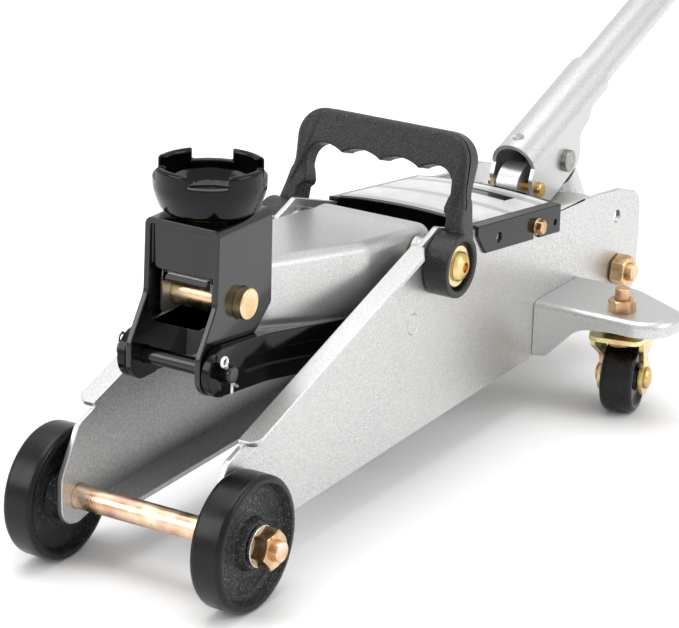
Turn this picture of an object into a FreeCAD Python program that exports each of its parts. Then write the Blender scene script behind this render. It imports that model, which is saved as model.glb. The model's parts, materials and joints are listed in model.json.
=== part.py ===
"""Trolley jack: a low hydraulic floor jack with a pumping handle, built as separate pieces.

Millimetres. +Z is up, +X is towards the front wheels and +Y is the jack's left.
The working frame has its origin on the floor under the front axle. The last step
moves every piece so that the origin is the centre of the base of the whole jack.
"""
import FreeCAD
import Part
import math
import os

os.makedirs("parts", exist_ok=True)

# ---------------------------------------------------------------- clearances
RUNNING = 0.08            # radial play of a shaft that turns in a bore
SLIDING = 0.10            # radial play of the handle in its socket
BOLT_PLAY = 0.3           # radial play of a bolt in a plain hole
SIDE_PLAY = 0.5           # play between flat faces that move past each other
OPEN_PLAY = 0.4           # play around parts that pass each other in the open

# ---------------------------------------------------------------- front wheels
FRONT_WHEEL_D = 65.0
FRONT_WHEEL_W = 16.4
FRONT_HUB_R = 11.5
FRONT_RIM_T = 5.0         # radial thickness of the tread ring
FRONT_WEB_RECESS = 3.2
FRONT_AXLE_R = 6.0
AXLE_THREAD_R = 5.0
M10_FLATS = 17.0
M10_NUT_H = 8.0
M10_WASHER_R = 10.0
M10_WASHER_T = 1.6
THREAD_SHOW = 3.2         # thread that stands out past a nut

# ---------------------------------------------------------------- side plates
PLATE_OUT = 42.8          # outer face of each side plate, from the middle
PLATE_T = 3.0
LUG_R = 13.0              # front end of the plate, round the axle
BOTTOM_FRONT_Z = 23.4     # underside of the plate at the front axle
BOTTOM_RISE = 0.0184      # rise of the underside per millimetre towards the rear
BOTTOM_FLANGE_W = 20.0
SLOPE_LOW = (-4.0, 69.0)
SLOPE_HIGH = (-179.0, 127.4)
PEAK = (-187.0, 130.5)
TOP_FLANGE_W = 8.0
TOP_FLANGE_END = 12.0     # the flange stops this far short of the slope's upper end
COVER_FALL = 0.1262       # fall of the rear top edge per millimetre
CREASE_X = -350.0         # the plates flare outwards behind this line
FLARE_DEG = 3.0
REAR_X = -413.0
REAR_TAB_Z = 98.0
TIE_HOLE = (-387.0, 84.0)  # tie-down hole in each rear tab
TIE_HOLE_R = 3.5

# ---------------------------------------------------------------- lift linkage
PIVOT = (-187.6, 112.3)   # lift arm shaft
PIN = (-44.0, 128.0)      # saddle bracket on the lift arm
LINK_STEP = (22.0, -26.5)  # from each upper pivot to the lower pivot beside it
SHAFT_R = 10.0
BRACKET_PIN_R = 7.5
TIE_BAR_R = 4.0
ARM_WALL = 3.0
ARM_FRONT_HALF = 16.5
ARM_REAR_HALF = 32.0
ARM_WIDEN_FRONT = -72.0   # the arm widens between these two places
ARM_WIDEN_REAR = -138.0
ARM_PIVOT_R = 15.5
ARM_PIN_R = 16.5
ARM_NOSE = 15.5           # the arm reaches this far past its front pin
LUG_ARM = 44.0            # ram roller from the lift arm shaft
LUG_BACK_DEG = 18.6       # the roller hangs this far behind the shaft at rest
LUG_EYE_R = 11.0
ROLLER_R = 8.0
ROLLER_PIN_R = 5.0
ROLLER_W = 24.0
SPRING_ARM = 19.0         # spring stud from the lift arm shaft
SPRING_STUD_R = 2.5
SPRING_STUD_OUT = 5.6
SPRING_R = 3.3
SPRING_WIRE = 1.2
SPRING_ANCHOR = (-306.0, 84.0)
TIE_T = 4.5
TIE_EYE_R = 11.8
TIE_GROOVE_W = 7.0
TIE_GROOVE_DEPTH = 1.2
COTTER_R = 1.05
COTTER_TILT_DEG = 28.0
COTTER_OUT = 3.0          # cotter pin from the tie rod's outer face
RIVET_R = 5.2
RIVET_HEAD_R = 6.8
RIVET_HEAD_T = 1.4

# ---------------------------------------------------------------- saddle bracket and saddle
BRACKET_OUT = 20.5
BRACKET_T = 3.0
BRACKET_FRONT_X = -25.5
BRACKET_REAR_X = -70.0
BRACKET_TOP_Z = 167.0
BRACKET_PIN_PROUD = 4.8
CHEEK_EYE_R = 11.8
TAB_DROP = 25.0
TAB_RECESS = 2.0
SADDLE_X = -48.0
SADDLE_R = 26.5
SADDLE_BASE_R = 21.0
SADDLE_H = 22.0
SADDLE_WALL = 3.6
SADDLE_FLOOR = 5.5
TOOTH_H = 5.6
NOTCH_W = 19.0
NOTCH_TURN_DEG = 31.0
SADDLE_GAP = 1.5          # washer under the saddle
STEM_R = 7.0
RETAINER_T = 1.5

# ---------------------------------------------------------------- carry handle
CARRY_BOSS_R = 16.0
CARRY_OUT = 56.8
CARRY_LEAN_DEG = 17.0
CARRY_SETBACK = 6.5
CARRY_RISE = 64.6         # bolt axis to the top of the grip, along the handle
CARRY_HALF = 49.3
CARRY_LEG_W = 10.5
CARRY_DEPTH = 15.0
CARRY_GRIP_H = 17.5
CUSP_PITCH = 22.3
CUSP_H = 3.2
CARRY_BOLT_R = 4.0
CARRY_BOLT_HEAD_R = 7.6
CARRY_WASHER_R = 10.5
CARRY_WASHER_T = 1.6
CARRY_POCKET = 4.0

# ---------------------------------------------------------------- cover
COVER_T = 1.5
COVER_FRONT_X = -226.0
COVER_REAR_X = -318.0
COVER_TOP_Z = 120.4       # at the front, along the folds
COVER_SKIRT = 15.5
COVER_FRONT_SKIRT = 10.0
COVER_CROWN = 3.0
COVER_SCREW_X = -291.0
COVER_SCREW_R = 2.0
COVER_SCREW_FLATS = 7.0
COVER_SLOT_W = 6.0
LABEL_T = 0.4

# ---------------------------------------------------------------- hydraulic unit
RAM_Z = 72.5
RAM_R = 10.0
RAM_HEAD_R = 13.0
RAM_HEAD_T = 7.0
RAM_GAP = 1.0             # between the ram's head and its roller at rest
RAM_TAIL = 20.0           # end of the rod, forward of the block's front face
PISTON_L = 12.0
PISTON_STEP = 2.5         # the piston is this much larger than the rod, in radius
CYLINDER_R = 17.0
RESERVOIR_R = 29.0
RESERVOIR_T = 2.5
RESERVOIR_FRONT_X = -240.0
GLAND_R = 24.0
GLAND_T = 7.0
BLOCK_FRONT_X = -330.0
BLOCK_REAR_X = -404.0
BLOCK_HALF = 31.0
BLOCK_LOW_Z = 38.0
BLOCK_TOP_Z = 92.0
CROSS_BOLT = (-388.0, 53.0)
CROSS_BOLT_R = 5.0
CROSS_FLATS = 16.0
VALVE_Y = 16.0
VALVE_Z = 66.0
VALVE_R = 5.0
VALVE_OUT = 18.0
VALVE_PIN_R = 1.5
FILLER_X = -300.0

# ---------------------------------------------------------------- pump and handle
FULCRUM = (-351.1, 102.7)
PLUNGER_PIN = (-383.4, 111.3)
SOCKET_LEAN_DEG = 20.0
SOCKET_R = 13.0
SOCKET_T = 2.2
SOCKET_AXIS = (-428.0, 145.0)   # a point on the handle's axis
SOCKET_LOW = -87.0        # along the handle's axis from that point
SOCKET_HIGH = 4.0
FULCRUM_R = 4.0
PLUNGER_PIN_R = 5.0
PUMP_LUG_HALF = 6.5
PUMP_SWING_DEG = 40.0
PLUNGER_R = 6.0
PLUNGER_EYE_R = 9.0
PUMP_GLAND_R = SOCKET_R - SOCKET_T + 1.2
PUMP_DEPTH = 30.0
HANDLE_WALL = 1.8
HANDLE_LOW = 245.0        # length of the lower tube past the socket
HANDLE_HIGH = 215.0       # length of the upper tube past the joint
HANDLE_IN = 42.0          # length of tube inside the socket
STOP_R = 2.5              # two dents in the socket stop the handle
STOP_DEPTH = 2.5
JOINT_LAP = 45.0
SCREW_BACK = 22.0         # joint screw from the end of the lower tube
SCREW_R = 2.5
GRIP_L = 110.0
GRIP_T = 3.2

# ---------------------------------------------------------------- casters
CASTER = (-309.0, 87.5)   # swivel axis
CASTER_WHEEL_D = 39.5
CASTER_WHEEL_W = 18.3
CASTER_TRAIL = 13.0
CASTER_TURN_DEG = 12.0    # how far each caster is turned at rest
FORK_T = 2.5
FORK_TOP_Z = 49.0
FORK_TOP_R = 15.0
FORK_TOP_HALF = 14.5      # the legs close in from this half width to the wheel
FORK_EYE_R = 9.4
AXLE_HEAD_R = 6.0
AXLE_HEAD_T = 3.0
CASTER_AXLE_R = 3.0
CASTER_HUB_R = 7.0
WING_TOP_Z = 60.5
WING_T = 3.5
WING_FRONT_X = -294.5
WING_REAR_X = -347.5
WING_OUT = 117.0
WING_RIM = 8.5
WING_GUSSET_LOW_Z = 30.0
SWIVEL_R = 4.0
M8_FLATS = 13.0
M8_NUT_H = 6.5
RACE_R = 9.5


# ---------------------------------------------------------------- drawing helpers
def v(x, y, z):
    return FreeCAD.Vector(x, y, z)


def turned(point, centre, degrees):
    """Turn an (x, z) point about a centre; positive lifts the front end."""
    a = math.radians(degrees)
    dx = point[0] - centre[0]
    dz = point[1] - centre[1]
    return (centre[0] + dx * math.cos(a) - dz * math.sin(a),
            centre[1] + dx * math.sin(a) + dz * math.cos(a))


def shifted(point, step):
    return (point[0] + step[0], point[1] + step[1])


def corner(before, at, after, radius):
    """Start, middle and end of the arc that rounds one corner of an outline."""
    a = (before - at).normalize()
    b = (after - at).normalize()
    half = math.acos(max(-1.0, min(1.0, a.dot(b)))) / 2
    run = radius / math.tan(half)
    inward = (a + b).normalize()
    centre = at + inward * (radius / math.sin(half))
    return at + a * run, centre - inward * radius, at + b * run


def outline(points, place):
    """A closed face from (u, w) or (u, w, corner radius) points, placed in space by place."""
    spots = [place(p[0], p[1]) for p in points]
    edges = []
    ends = []
    for i, p in enumerate(points):
        radius = p[2] if len(p) > 2 else 0
        at = spots[i]
        if radius > 0:
            start, middle, end = corner(spots[i - 1] - v(0, 0, 0), at, spots[(i + 1) % len(spots)], radius)
            edges.append(Part.Arc(start, middle, end).toShape())
            ends.append((start, end))
        else:
            edges.append(None)
            ends.append((at, at))
    path = []
    for i in range(len(points)):
        if edges[i] is not None:
            path.append(edges[i])
        here = ends[i][1]
        there = ends[(i + 1) % len(points)][0]
        if here.distanceToPoint(there) > 1e-6:
            path.append(Part.LineSegment(here, there).toShape())
    return Part.Face(Part.Wire(path))


def slab(points, y_low, y_high):
    """An outline in the XZ plane, extruded along Y."""
    face = outline(points, lambda x, z: v(x, y_low, z))
    return face.extrude(v(0, y_high - y_low, 0))


def plan(points, z_low, z_high):
    """An outline in the XY plane, extruded along Z."""
    face = outline(points, lambda x, y: v(x, y, z_low))
    return face.extrude(v(0, 0, z_high - z_low))


def section(points, x_low, x_high):
    """An outline in the YZ plane, extruded along X."""
    face = outline(points, lambda y, z: v(x_low, y, z))
    return face.extrude(v(x_high - x_low, 0, 0))


def block(x_low, x_high, y_low, y_high, z_low, z_high):
    return Part.makeBox(x_high - x_low, y_high - y_low, z_high - z_low, v(x_low, y_low, z_low))


def bar(point, y_low, y_high, radius):
    """A cylinder along Y at an (x, z) point."""
    return Part.makeCylinder(radius, y_high - y_low, v(point[0], y_low, point[1]), v(0, 1, 0))


def post(x, y, z_low, z_high, radius):
    return Part.makeCylinder(radius, z_high - z_low, v(x, y, z_low), v(0, 0, 1))


def beam(x_low, x_high, y, z, radius):
    return Part.makeCylinder(radius, x_high - x_low, v(x_low, y, z), v(1, 0, 0))


def lathe(profile, base, axis):
    """A solid of revolution from (radius, distance along axis) points."""
    side = v(0, 0, 1) if abs(axis.z) < 0.9 else v(1, 0, 0)
    out = axis.cross(side).normalize()
    spots = [base + out * r + axis * h for r, h in profile]
    edges = []
    for i, spot in enumerate(spots):
        edges.append(Part.LineSegment(spot, spots[(i + 1) % len(spots)]).toShape())
    return Part.Face(Part.Wire(edges)).revolve(base, axis, 360)


def hexagon(base, axis, flats, height, turn=0.0):
    """A hexagonal prism with its corners turned off at the free end."""
    side = v(0, 0, 1) if abs(axis.z) < 0.9 else v(1, 0, 0)
    across = axis.cross(side).normalize()
    up = axis.cross(across).normalize()
    reach = flats / math.sqrt(3)
    spots = []
    for i in range(6):
        a = math.radians(60 * i + turn)
        spots.append(base + across * (reach * math.cos(a)) + up * (reach * math.sin(a)))
    spots.append(spots[0])
    prism = Part.Face(Part.makePolygon(spots)).extrude(axis * height)
    rounding = lathe([(0, -1), (reach + 2, -1), (reach + 2, height - 2), (flats / 2 * 0.94, height),
                      (0, height)], base, axis)
    return prism.common(rounding)


def mirrored(shape):
    return shape.mirror(v(0, 0, 0), v(0, 1, 0))


def both(shape):
    return [shape, mirrored(shape)]


def round_edges(shape, radius, wanted):
    """Fillet the edges for which wanted(edge) is true."""
    chosen = [edge for edge in shape.Edges if wanted(edge)]
    return shape.makeFillet(radius, chosen)


NODES = {}


def node(name, shapes):
    """Keep one piece, or a group of like pieces, under its name."""
    if not isinstance(shapes, list):
        shapes = [shapes]
    solids = []
    for shape in shapes:
        solids.extend(shape.removeSplitter().Solids)
    NODES[name] = solids


# ---------------------------------------------------------------- places worked out from the sizes
PLATE_IN = PLATE_OUT - PLATE_T
AXLE = (0.0, FRONT_WHEEL_D / 2)
WHEEL_IN = PLATE_OUT + 0.9
WHEEL_OUT = WHEEL_IN + FRONT_WHEEL_W
TIE_BAR = shifted(PIN, LINK_STEP)
TIE_PIVOT = shifted(PIVOT, LINK_STEP)
LUG = turned(shifted(PIVOT, (0, -LUG_ARM)), PIVOT, -LUG_BACK_DEG)
SPRING_STUD = turned(shifted(PIVOT, (0, -SPRING_ARM)), PIVOT, -LUG_BACK_DEG)
TIE_FRONT_IN = BRACKET_OUT + SIDE_PLAY
TIE_REAR_OUT = PLATE_IN - SIDE_PLAY
SLOPE_RUN = math.hypot(SLOPE_HIGH[0] - SLOPE_LOW[0], SLOPE_HIGH[1] - SLOPE_LOW[1])
SLOPE_DIR = ((SLOPE_HIGH[0] - SLOPE_LOW[0]) / SLOPE_RUN, (SLOPE_HIGH[1] - SLOPE_LOW[1]) / SLOPE_RUN)
SLOPE_UP = (SLOPE_DIR[1], -SLOPE_DIR[0])
SOCKET_DIR = v(-math.cos(math.radians(SOCKET_LEAN_DEG)), 0, math.sin(math.radians(SOCKET_LEAN_DEG)))
SOCKET_UP = v(math.sin(math.radians(SOCKET_LEAN_DEG)), 0, math.cos(math.radians(SOCKET_LEAN_DEG)))


def bottom_z(x):
    return BOTTOM_FRONT_Z - BOTTOM_RISE * x


def cover_z(x):
    """Height of the cover's fold line."""
    return COVER_TOP_Z + COVER_FALL * (x - COVER_FRONT_X)


def plate_top_z(x):
    return cover_z(x) - COVER_T - 0.3


COVER_SCREW = (COVER_SCREW_X, cover_z(COVER_SCREW_X) - COVER_SKIRT * 0.56)


# ---------------------------------------------------------------- frame
def side_plate():
    """Left side plate: pressed sheet with an outward top flange and an inward bottom flange."""
    rear_bottom = bottom_z(CREASE_X)
    web = slab([(LUG_R, AXLE[1] + 12, 14), (SLOPE_LOW[0] + 3, SLOPE_LOW[1] - 1, 6),
                (SLOPE_HIGH[0], SLOPE_HIGH[1] - 0.01), (PEAK[0], PEAK[1], 4),
                (COVER_FRONT_X + OPEN_PLAY, plate_top_z(COVER_FRONT_X)), (CREASE_X, plate_top_z(CREASE_X)),
                (CREASE_X, rear_bottom), (-LUG_R * 1.6, bottom_z(-LUG_R * 1.6), 20),
                (0, AXLE[1] - LUG_R - 0.5, 6), (LUG_R, AXLE[1] - LUG_R + 1, 11)],
               PLATE_IN, PLATE_OUT)
    tail = slab([(CREASE_X, plate_top_z(CREASE_X)), (REAR_X + 24, REAR_TAB_Z + 1.5, 14),
                 (REAR_X, REAR_TAB_Z - 6, 12), (REAR_X, bottom_z(REAR_X) + 6, 10),
                 (REAR_X + 22, bottom_z(REAR_X)), (CREASE_X, rear_bottom)], PLATE_IN, PLATE_OUT)
    tail = tail.cut(bar(TIE_HOLE, PLATE_IN - 1, PLATE_OUT + 1, TIE_HOLE_R))
    tail.rotate(v(CREASE_X, PLATE_IN, 0), v(0, 0, 1), -FLARE_DEG)
    low_flange = section([(PLATE_OUT - BOTTOM_FLANGE_W, 0), (PLATE_OUT, 0), (PLATE_OUT, PLATE_T),
                          (PLATE_OUT - BOTTOM_FLANGE_W, PLATE_T)], CREASE_X, -6)
    tilt = math.degrees(math.atan(BOTTOM_RISE))
    low_flange.rotate(v(0, 0, 0), v(0, 1, 0), tilt)
    low_flange.translate(v(0, 0, BOTTOM_FRONT_Z))
    start = shifted(SLOPE_LOW, (SLOPE_DIR[0] * 10, SLOPE_DIR[1] * 10))
    stop = SLOPE_RUN - TOP_FLANGE_END - 10
    rim = plan([(0, PLATE_IN), (stop, PLATE_IN), (stop, PLATE_OUT + TOP_FLANGE_W - 4),
                (stop - 7, PLATE_OUT + TOP_FLANGE_W), (0, PLATE_OUT + TOP_FLANGE_W, 6)], -PLATE_T, 0)
    rim.rotate(v(0, 0, 0), v(0, 1, 0), -math.degrees(math.atan2(SLOPE_DIR[1], SLOPE_DIR[0])))
    rim.translate(v(start[0], 0, start[1]))
    plate = web.fuse([tail, low_flange, rim])
    plate = plate.cut(bar(AXLE, 0, PLATE_OUT + 1, FRONT_AXLE_R + 0.05))
    plate = plate.cut(bar(PIVOT, PLATE_IN - 1, PLATE_OUT + 1, CARRY_BOLT_R + BOLT_PLAY))
    plate = plate.cut(bar(TIE_PIVOT, PLATE_IN - 1, PLATE_OUT + 1, RIVET_R))
    plate = plate.cut(bar(CROSS_BOLT, PLATE_IN - 6, PLATE_OUT + 6, CROSS_BOLT_R + BOLT_PLAY))
    plate = plate.fuse(bar(SPRING_ANCHOR, ARM_REAR_HALF + OPEN_PLAY, PLATE_IN + 1, SPRING_STUD_R))
    return plate.cut(bar(COVER_SCREW, PLATE_IN - 1, PLATE_OUT + 1, COVER_SCREW_R))


def caster_bracket():
    """Left caster bracket: pressed wing with a rolled rim and a deep front gusset."""
    shape = [(WING_FRONT_X, PLATE_OUT), (WING_FRONT_X, WING_OUT, 19), (WING_FRONT_X - 32, WING_OUT, 14),
             (WING_REAR_X, 80, 26), (WING_REAR_X, PLATE_OUT)]
    outer = plan(shape, WING_TOP_Z - WING_RIM, WING_TOP_Z)
    outer = round_edges(outer, 4.0, lambda e: e.BoundBox.ZMin > WING_TOP_Z - 0.01
                        and e.BoundBox.YMax > PLATE_OUT + 0.1)
    inner = plan([(WING_FRONT_X - WING_T, PLATE_OUT - 1), (WING_FRONT_X - WING_T, WING_OUT - WING_T, 15.5),
                  (WING_FRONT_X - 30, WING_OUT - WING_T, 10.5), (WING_REAR_X + WING_T, 79, 22.5),
                  (WING_REAR_X + WING_T, PLATE_OUT - 1)], WING_TOP_Z - WING_RIM - 1, WING_TOP_Z - WING_T)
    gusset = section([(PLATE_OUT, WING_GUSSET_LOW_Z), (PLATE_OUT + 8, WING_GUSSET_LOW_Z + 1, 4),
                      (PLATE_OUT + 26, WING_TOP_Z - WING_RIM - 2, 18), (PLATE_OUT + 44, WING_TOP_Z - WING_RIM),
                      (PLATE_OUT + 44, WING_TOP_Z - 4), (PLATE_OUT, WING_TOP_Z - 4)],
                     WING_FRONT_X - WING_T, WING_FRONT_X)
    wing = outer.cut(inner).fuse(gusset)
    return wing.cut(post(CASTER[0], CASTER[1], WING_TOP_Z - WING_RIM, WING_TOP_Z + 1, SWIVEL_R + BOLT_PLAY))


def front_axle():
    half = WHEEL_OUT + 0.3
    shank = bar(AXLE, -half, half, FRONT_AXLE_R)
    tip = half + M10_WASHER_T + M10_NUT_H + THREAD_SHOW
    thread = bar(AXLE, -tip, tip, AXLE_THREAD_R)
    thread = round_edges(thread, 0.8, lambda e: len(e.Vertexes) == 1)
    return shank.fuse(thread)


def front_wheel():
    """Left front wheel, turned: tread ring, thin web and a raised hub."""
    r = FRONT_WHEEL_D / 2
    rim = r - FRONT_RIM_T
    w = FRONT_WHEEL_W
    bore = FRONT_AXLE_R + RUNNING
    dish = FRONT_WEB_RECESS
    profile = [(bore, 0), (FRONT_HUB_R, 0), (FRONT_HUB_R + 1, dish), (rim - 2.4, dish), (rim, 1.2), (rim + 1, 0),
               (r - 2, 0), (r - 0.6, 0.6), (r, 2), (r, w - 2), (r - 0.6, w - 0.6), (r - 2, w), (rim + 1, w),
               (rim, w - 1.2), (rim - 2.4, w - dish), (FRONT_HUB_R + 1.4, w - dish), (FRONT_HUB_R, w), (bore, w)]
    return lathe(profile, v(AXLE[0], WHEEL_IN, AXLE[1]), v(0, 1, 0))


def axle_washer():
    disc = bar(AXLE, WHEEL_OUT + 0.3, WHEEL_OUT + 0.3 + M10_WASHER_T, M10_WASHER_R)
    return disc.cut(bar(AXLE, WHEEL_OUT, WHEEL_OUT + 5, AXLE_THREAD_R))


def axle_nut():
    seat = WHEEL_OUT + 0.3 + M10_WASHER_T
    nut = hexagon(v(AXLE[0], seat, AXLE[1]), v(0, 1, 0), M10_FLATS, M10_NUT_H, 12)
    return nut.cut(bar(AXLE, seat - 1, seat + M10_NUT_H + 1, AXLE_THREAD_R))


def flared_y():
    """Outer face of the flared tail at the cross bolt."""
    reach = CREASE_X - CROSS_BOLT[0] + CROSS_FLATS * 0.6
    return PLATE_OUT + reach * math.tan(math.radians(FLARE_DEG)) + 0.1


def cross_bolt():
    seat = flared_y()
    shank = bar(CROSS_BOLT, -seat, seat + M10_NUT_H + THREAD_SHOW, CROSS_BOLT_R)
    head = hexagon(v(CROSS_BOLT[0], -seat, CROSS_BOLT[1]), v(0, -1, 0), CROSS_FLATS, 6.4)
    return shank.fuse(head)


def cross_nut():
    seat = flared_y()
    nut = hexagon(v(CROSS_BOLT[0], seat, CROSS_BOLT[1]), v(0, 1, 0), CROSS_FLATS, M10_NUT_H, 20)
    return nut.cut(bar(CROSS_BOLT, seat - 1, seat + M10_NUT_H + 1, CROSS_BOLT_R))


def cross_spacer():
    """Spacer tube between the block and the left plate, on the cross bolt."""
    wide = PLATE_IN + 0.6
    tube = bar(CROSS_BOLT, BLOCK_HALF, wide, CROSS_BOLT_R + 4)
    return tube.cut(bar(CROSS_BOLT, BLOCK_HALF - 1, wide + 1, CROSS_BOLT_R + BOLT_PLAY))


# ---------------------------------------------------------------- lift linkage
def arm_half(x):
    """Half width of the lift arm in plan."""
    if x > ARM_WIDEN_FRONT:
        return ARM_FRONT_HALF
    share = min(1.0, (ARM_WIDEN_FRONT - x) / (ARM_WIDEN_FRONT - ARM_WIDEN_REAR))
    return ARM_FRONT_HALF + share * (ARM_REAR_HALF - ARM_FRONT_HALF)


def lift_arm():
    """Lift arm: pressed channel, open below, with deep cheeks that carry the ram's roller."""
    nose = PIN[0] + ARM_NOSE
    rear = PIVOT[0] - ARM_PIVOT_R

    def shell(inset, drop):
        half_f = ARM_FRONT_HALF - inset
        half_r = ARM_REAR_HALF - inset
        wide = plan([(nose + inset, -half_f), (nose + inset, half_f), (ARM_WIDEN_FRONT, half_f, 30),
                     (ARM_WIDEN_REAR, half_r, 30), (rear - 40, half_r), (rear - 40, -half_r),
                     (ARM_WIDEN_REAR, -half_r, 30), (ARM_WIDEN_FRONT, -half_f, 30)], 30, 180)
        back = drop / 2
        high = slab([(nose, PIN[1] - 9), (nose, PIN[1] + ARM_PIN_R - inset, 9),
                     (PIVOT[0], PIVOT[1] + ARM_PIVOT_R - inset, 20),
                     (rear - back, PIVOT[1] + ARM_PIVOT_R - inset, 10),
                     (rear - back, PIVOT[1] - 12, 12), (LUG[0] - LUG_EYE_R - back, LUG[1] + 6, 8),
                     (LUG[0] - LUG_EYE_R - back, LUG[1] - LUG_EYE_R - drop, 9),
                     (LUG[0] + 12, LUG[1] - LUG_EYE_R - drop, 9), (-150, 86 - drop, 30),
                     (-112, 98 - drop, 30), (-60, PIN[1] - 21 - drop, 8), (-48, PIN[1] - 10 - drop, 6)],
                    -60, 60)
        return wide.common(high)

    outer = shell(0, 0)
    outer = round_edges(outer, 6.0, lambda e: e.BoundBox.ZMin > PIVOT[1] + 10 and e.BoundBox.ZMin < 146
                        and e.BoundBox.XLength > 20)
    inner = shell(ARM_WALL, 60)
    inner = inner.cut(block(nose - 1, nose + 5, -60, 60, 0, 200))
    inner = inner.fuse(section([(-ARM_FRONT_HALF + ARM_WALL, PIN[1] - 12), (ARM_FRONT_HALF - ARM_WALL, PIN[1] - 12),
                                (ARM_FRONT_HALF - ARM_WALL, PIN[1] + ARM_PIN_R - ARM_WALL - 5, 2),
                                (-ARM_FRONT_HALF + ARM_WALL, PIN[1] + ARM_PIN_R - ARM_WALL - 5, 2)],
                               nose - 12, nose + 6))
    web = block(-74, nose - 2, -ARM_FRONT_HALF + 1, ARM_FRONT_HALF - 1, PIN[1] - 11.5, PIN[1] - 8.5)
    arm = outer.cut(inner).fuse(web)
    arm = arm.cut(bar(PIVOT, -60, 60, SHAFT_R + RUNNING))
    arm = arm.cut(bar(PIN, -60, 60, BRACKET_PIN_R))
    arm = arm.cut(bar(LUG, -60, 60, ROLLER_PIN_R))
    for side in (-1, 1):
        inner_end = side * (ARM_REAR_HALF - 1)
        outer_end = side * (ARM_REAR_HALF + SPRING_STUD_OUT)
        arm = arm.fuse(bar(SPRING_STUD, min(inner_end, outer_end), max(inner_end, outer_end), SPRING_STUD_R))
    return arm


def arm_shaft():
    shaft = bar(PIVOT, -PLATE_IN, PLATE_IN, SHAFT_R)
    return shaft.cut(bar(PIVOT, -PLATE_IN - 1, PLATE_IN + 1, CARRY_BOLT_R))


def arm_spacer():
    low = ARM_REAR_HALF + SIDE_PLAY
    tube = bar(PIVOT, low, PLATE_IN, SHAFT_R + 3.5)
    return tube.cut(bar(PIVOT, low - 1, PLATE_IN + 1, SHAFT_R))


def ram_roller():
    roller = bar(LUG, -ROLLER_W / 2, ROLLER_W / 2, ROLLER_R)
    roller = round_edges(roller, 1.0, lambda e: len(e.Vertexes) == 1)
    return roller.cut(bar(LUG, -ROLLER_W, ROLLER_W, ROLLER_PIN_R + RUNNING))


def roller_pin():
    return bar(LUG, -ARM_REAR_HALF + 0.2, ARM_REAR_HALF - 0.2, ROLLER_PIN_R)


def bracket_pin():
    half = BRACKET_OUT + BRACKET_PIN_PROUD
    pin = bar(PIN, -half, half, BRACKET_PIN_R)
    return round_edges(pin, 0.7, lambda e: len(e.Vertexes) == 1)


def tie_rod():
    """Left tie rod: flat bar that is straight at both eyes and splays outwards between them."""
    front_out = TIE_FRONT_IN + TIE_T
    rear_in = TIE_REAR_OUT - TIE_T
    tilt = (PIVOT[1] - PIN[1]) / (PIVOT[0] - PIN[0])
    lean = 1 / math.cos(math.atan(tilt))
    r = TIE_EYE_R
    f = TIE_BAR
    b = TIE_PIVOT
    side = slab([(f[0] + 40, f[1] + r * lean + 40 * tilt), (f[0] + 40, f[1] - r * lean + 40 * tilt),
                 (b[0] - 40, b[1] - r * lean - 40 * tilt), (b[0] - 40, b[1] + r * lean - 40 * tilt)], 0, 60)
    side = side.cut(block(f[0], f[0] + 60, -1, 61, 0, 300)).fuse(bar(f, 0, 60, r))
    side = side.cut(block(b[0] - 60, b[0], -1, 61, 0, 300)).fuse(bar(b, 0, 60, r))
    flat_front = ARM_WIDEN_FRONT + 12
    flat_rear = ARM_WIDEN_REAR + 12

    def path(inset):
        """The rod seen from above, with its outer face moved in by inset."""
        return plan([(f[0] + 30, TIE_FRONT_IN), (f[0] + 30, front_out - inset), (flat_front, front_out - inset, 30),
                     (flat_rear, TIE_REAR_OUT - inset, 30), (b[0] - 30, TIE_REAR_OUT - inset), (b[0] - 30, rear_in),
                     (flat_rear, rear_in, 34), (flat_front, TIE_FRONT_IN, 26)], 20, 200)

    rod = side.common(path(0))
    half = TIE_GROOVE_W / 2
    strip = slab([(f[0] - 17, f[1] - half - 17 * tilt, 3.4), (f[0] - 17, f[1] + half - 17 * tilt, 3.4),
                  (b[0] + 17, b[1] + half + 17 * tilt, 3.4), (b[0] + 17, b[1] - half + 17 * tilt, 3.4)], 0, 60)
    rod = rod.cut(strip.cut(path(TIE_GROOVE_DEPTH)))
    rod = rod.cut(bar(TIE_BAR, 0, 60, TIE_BAR_R + RUNNING))
    return rod.cut(bar(TIE_PIVOT, 0, 60, RIVET_R + RUNNING))


def tie_rivet():
    """Left tie rod's pivot: set flush in the plate, with a thin head inside."""
    head_out = TIE_REAR_OUT - TIE_T - 0.1
    shank = bar(TIE_PIVOT, head_out - RIVET_HEAD_T, PLATE_OUT, RIVET_R)
    return shank.fuse(bar(TIE_PIVOT, head_out - RIVET_HEAD_T, head_out, RIVET_HEAD_R))


def tie_bar():
    half = TIE_FRONT_IN + TIE_T + COTTER_OUT * 2
    rod = bar(TIE_BAR, -half, half, TIE_BAR_R)
    rod = round_edges(rod, 0.8, lambda e: len(e.Vertexes) == 1)
    for side in (-1, 1):
        y = side * (TIE_FRONT_IN + TIE_T + COTTER_OUT)
        hole = Part.makeCylinder(COTTER_R, TIE_BAR_R * 4, v(TIE_BAR[0], y, TIE_BAR[1] - TIE_BAR_R * 2))
        hole.rotate(v(TIE_BAR[0], y, TIE_BAR[1]), v(0, 1, 0), COTTER_TILT_DEG)
        rod = rod.cut(hole)
    return rod


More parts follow.
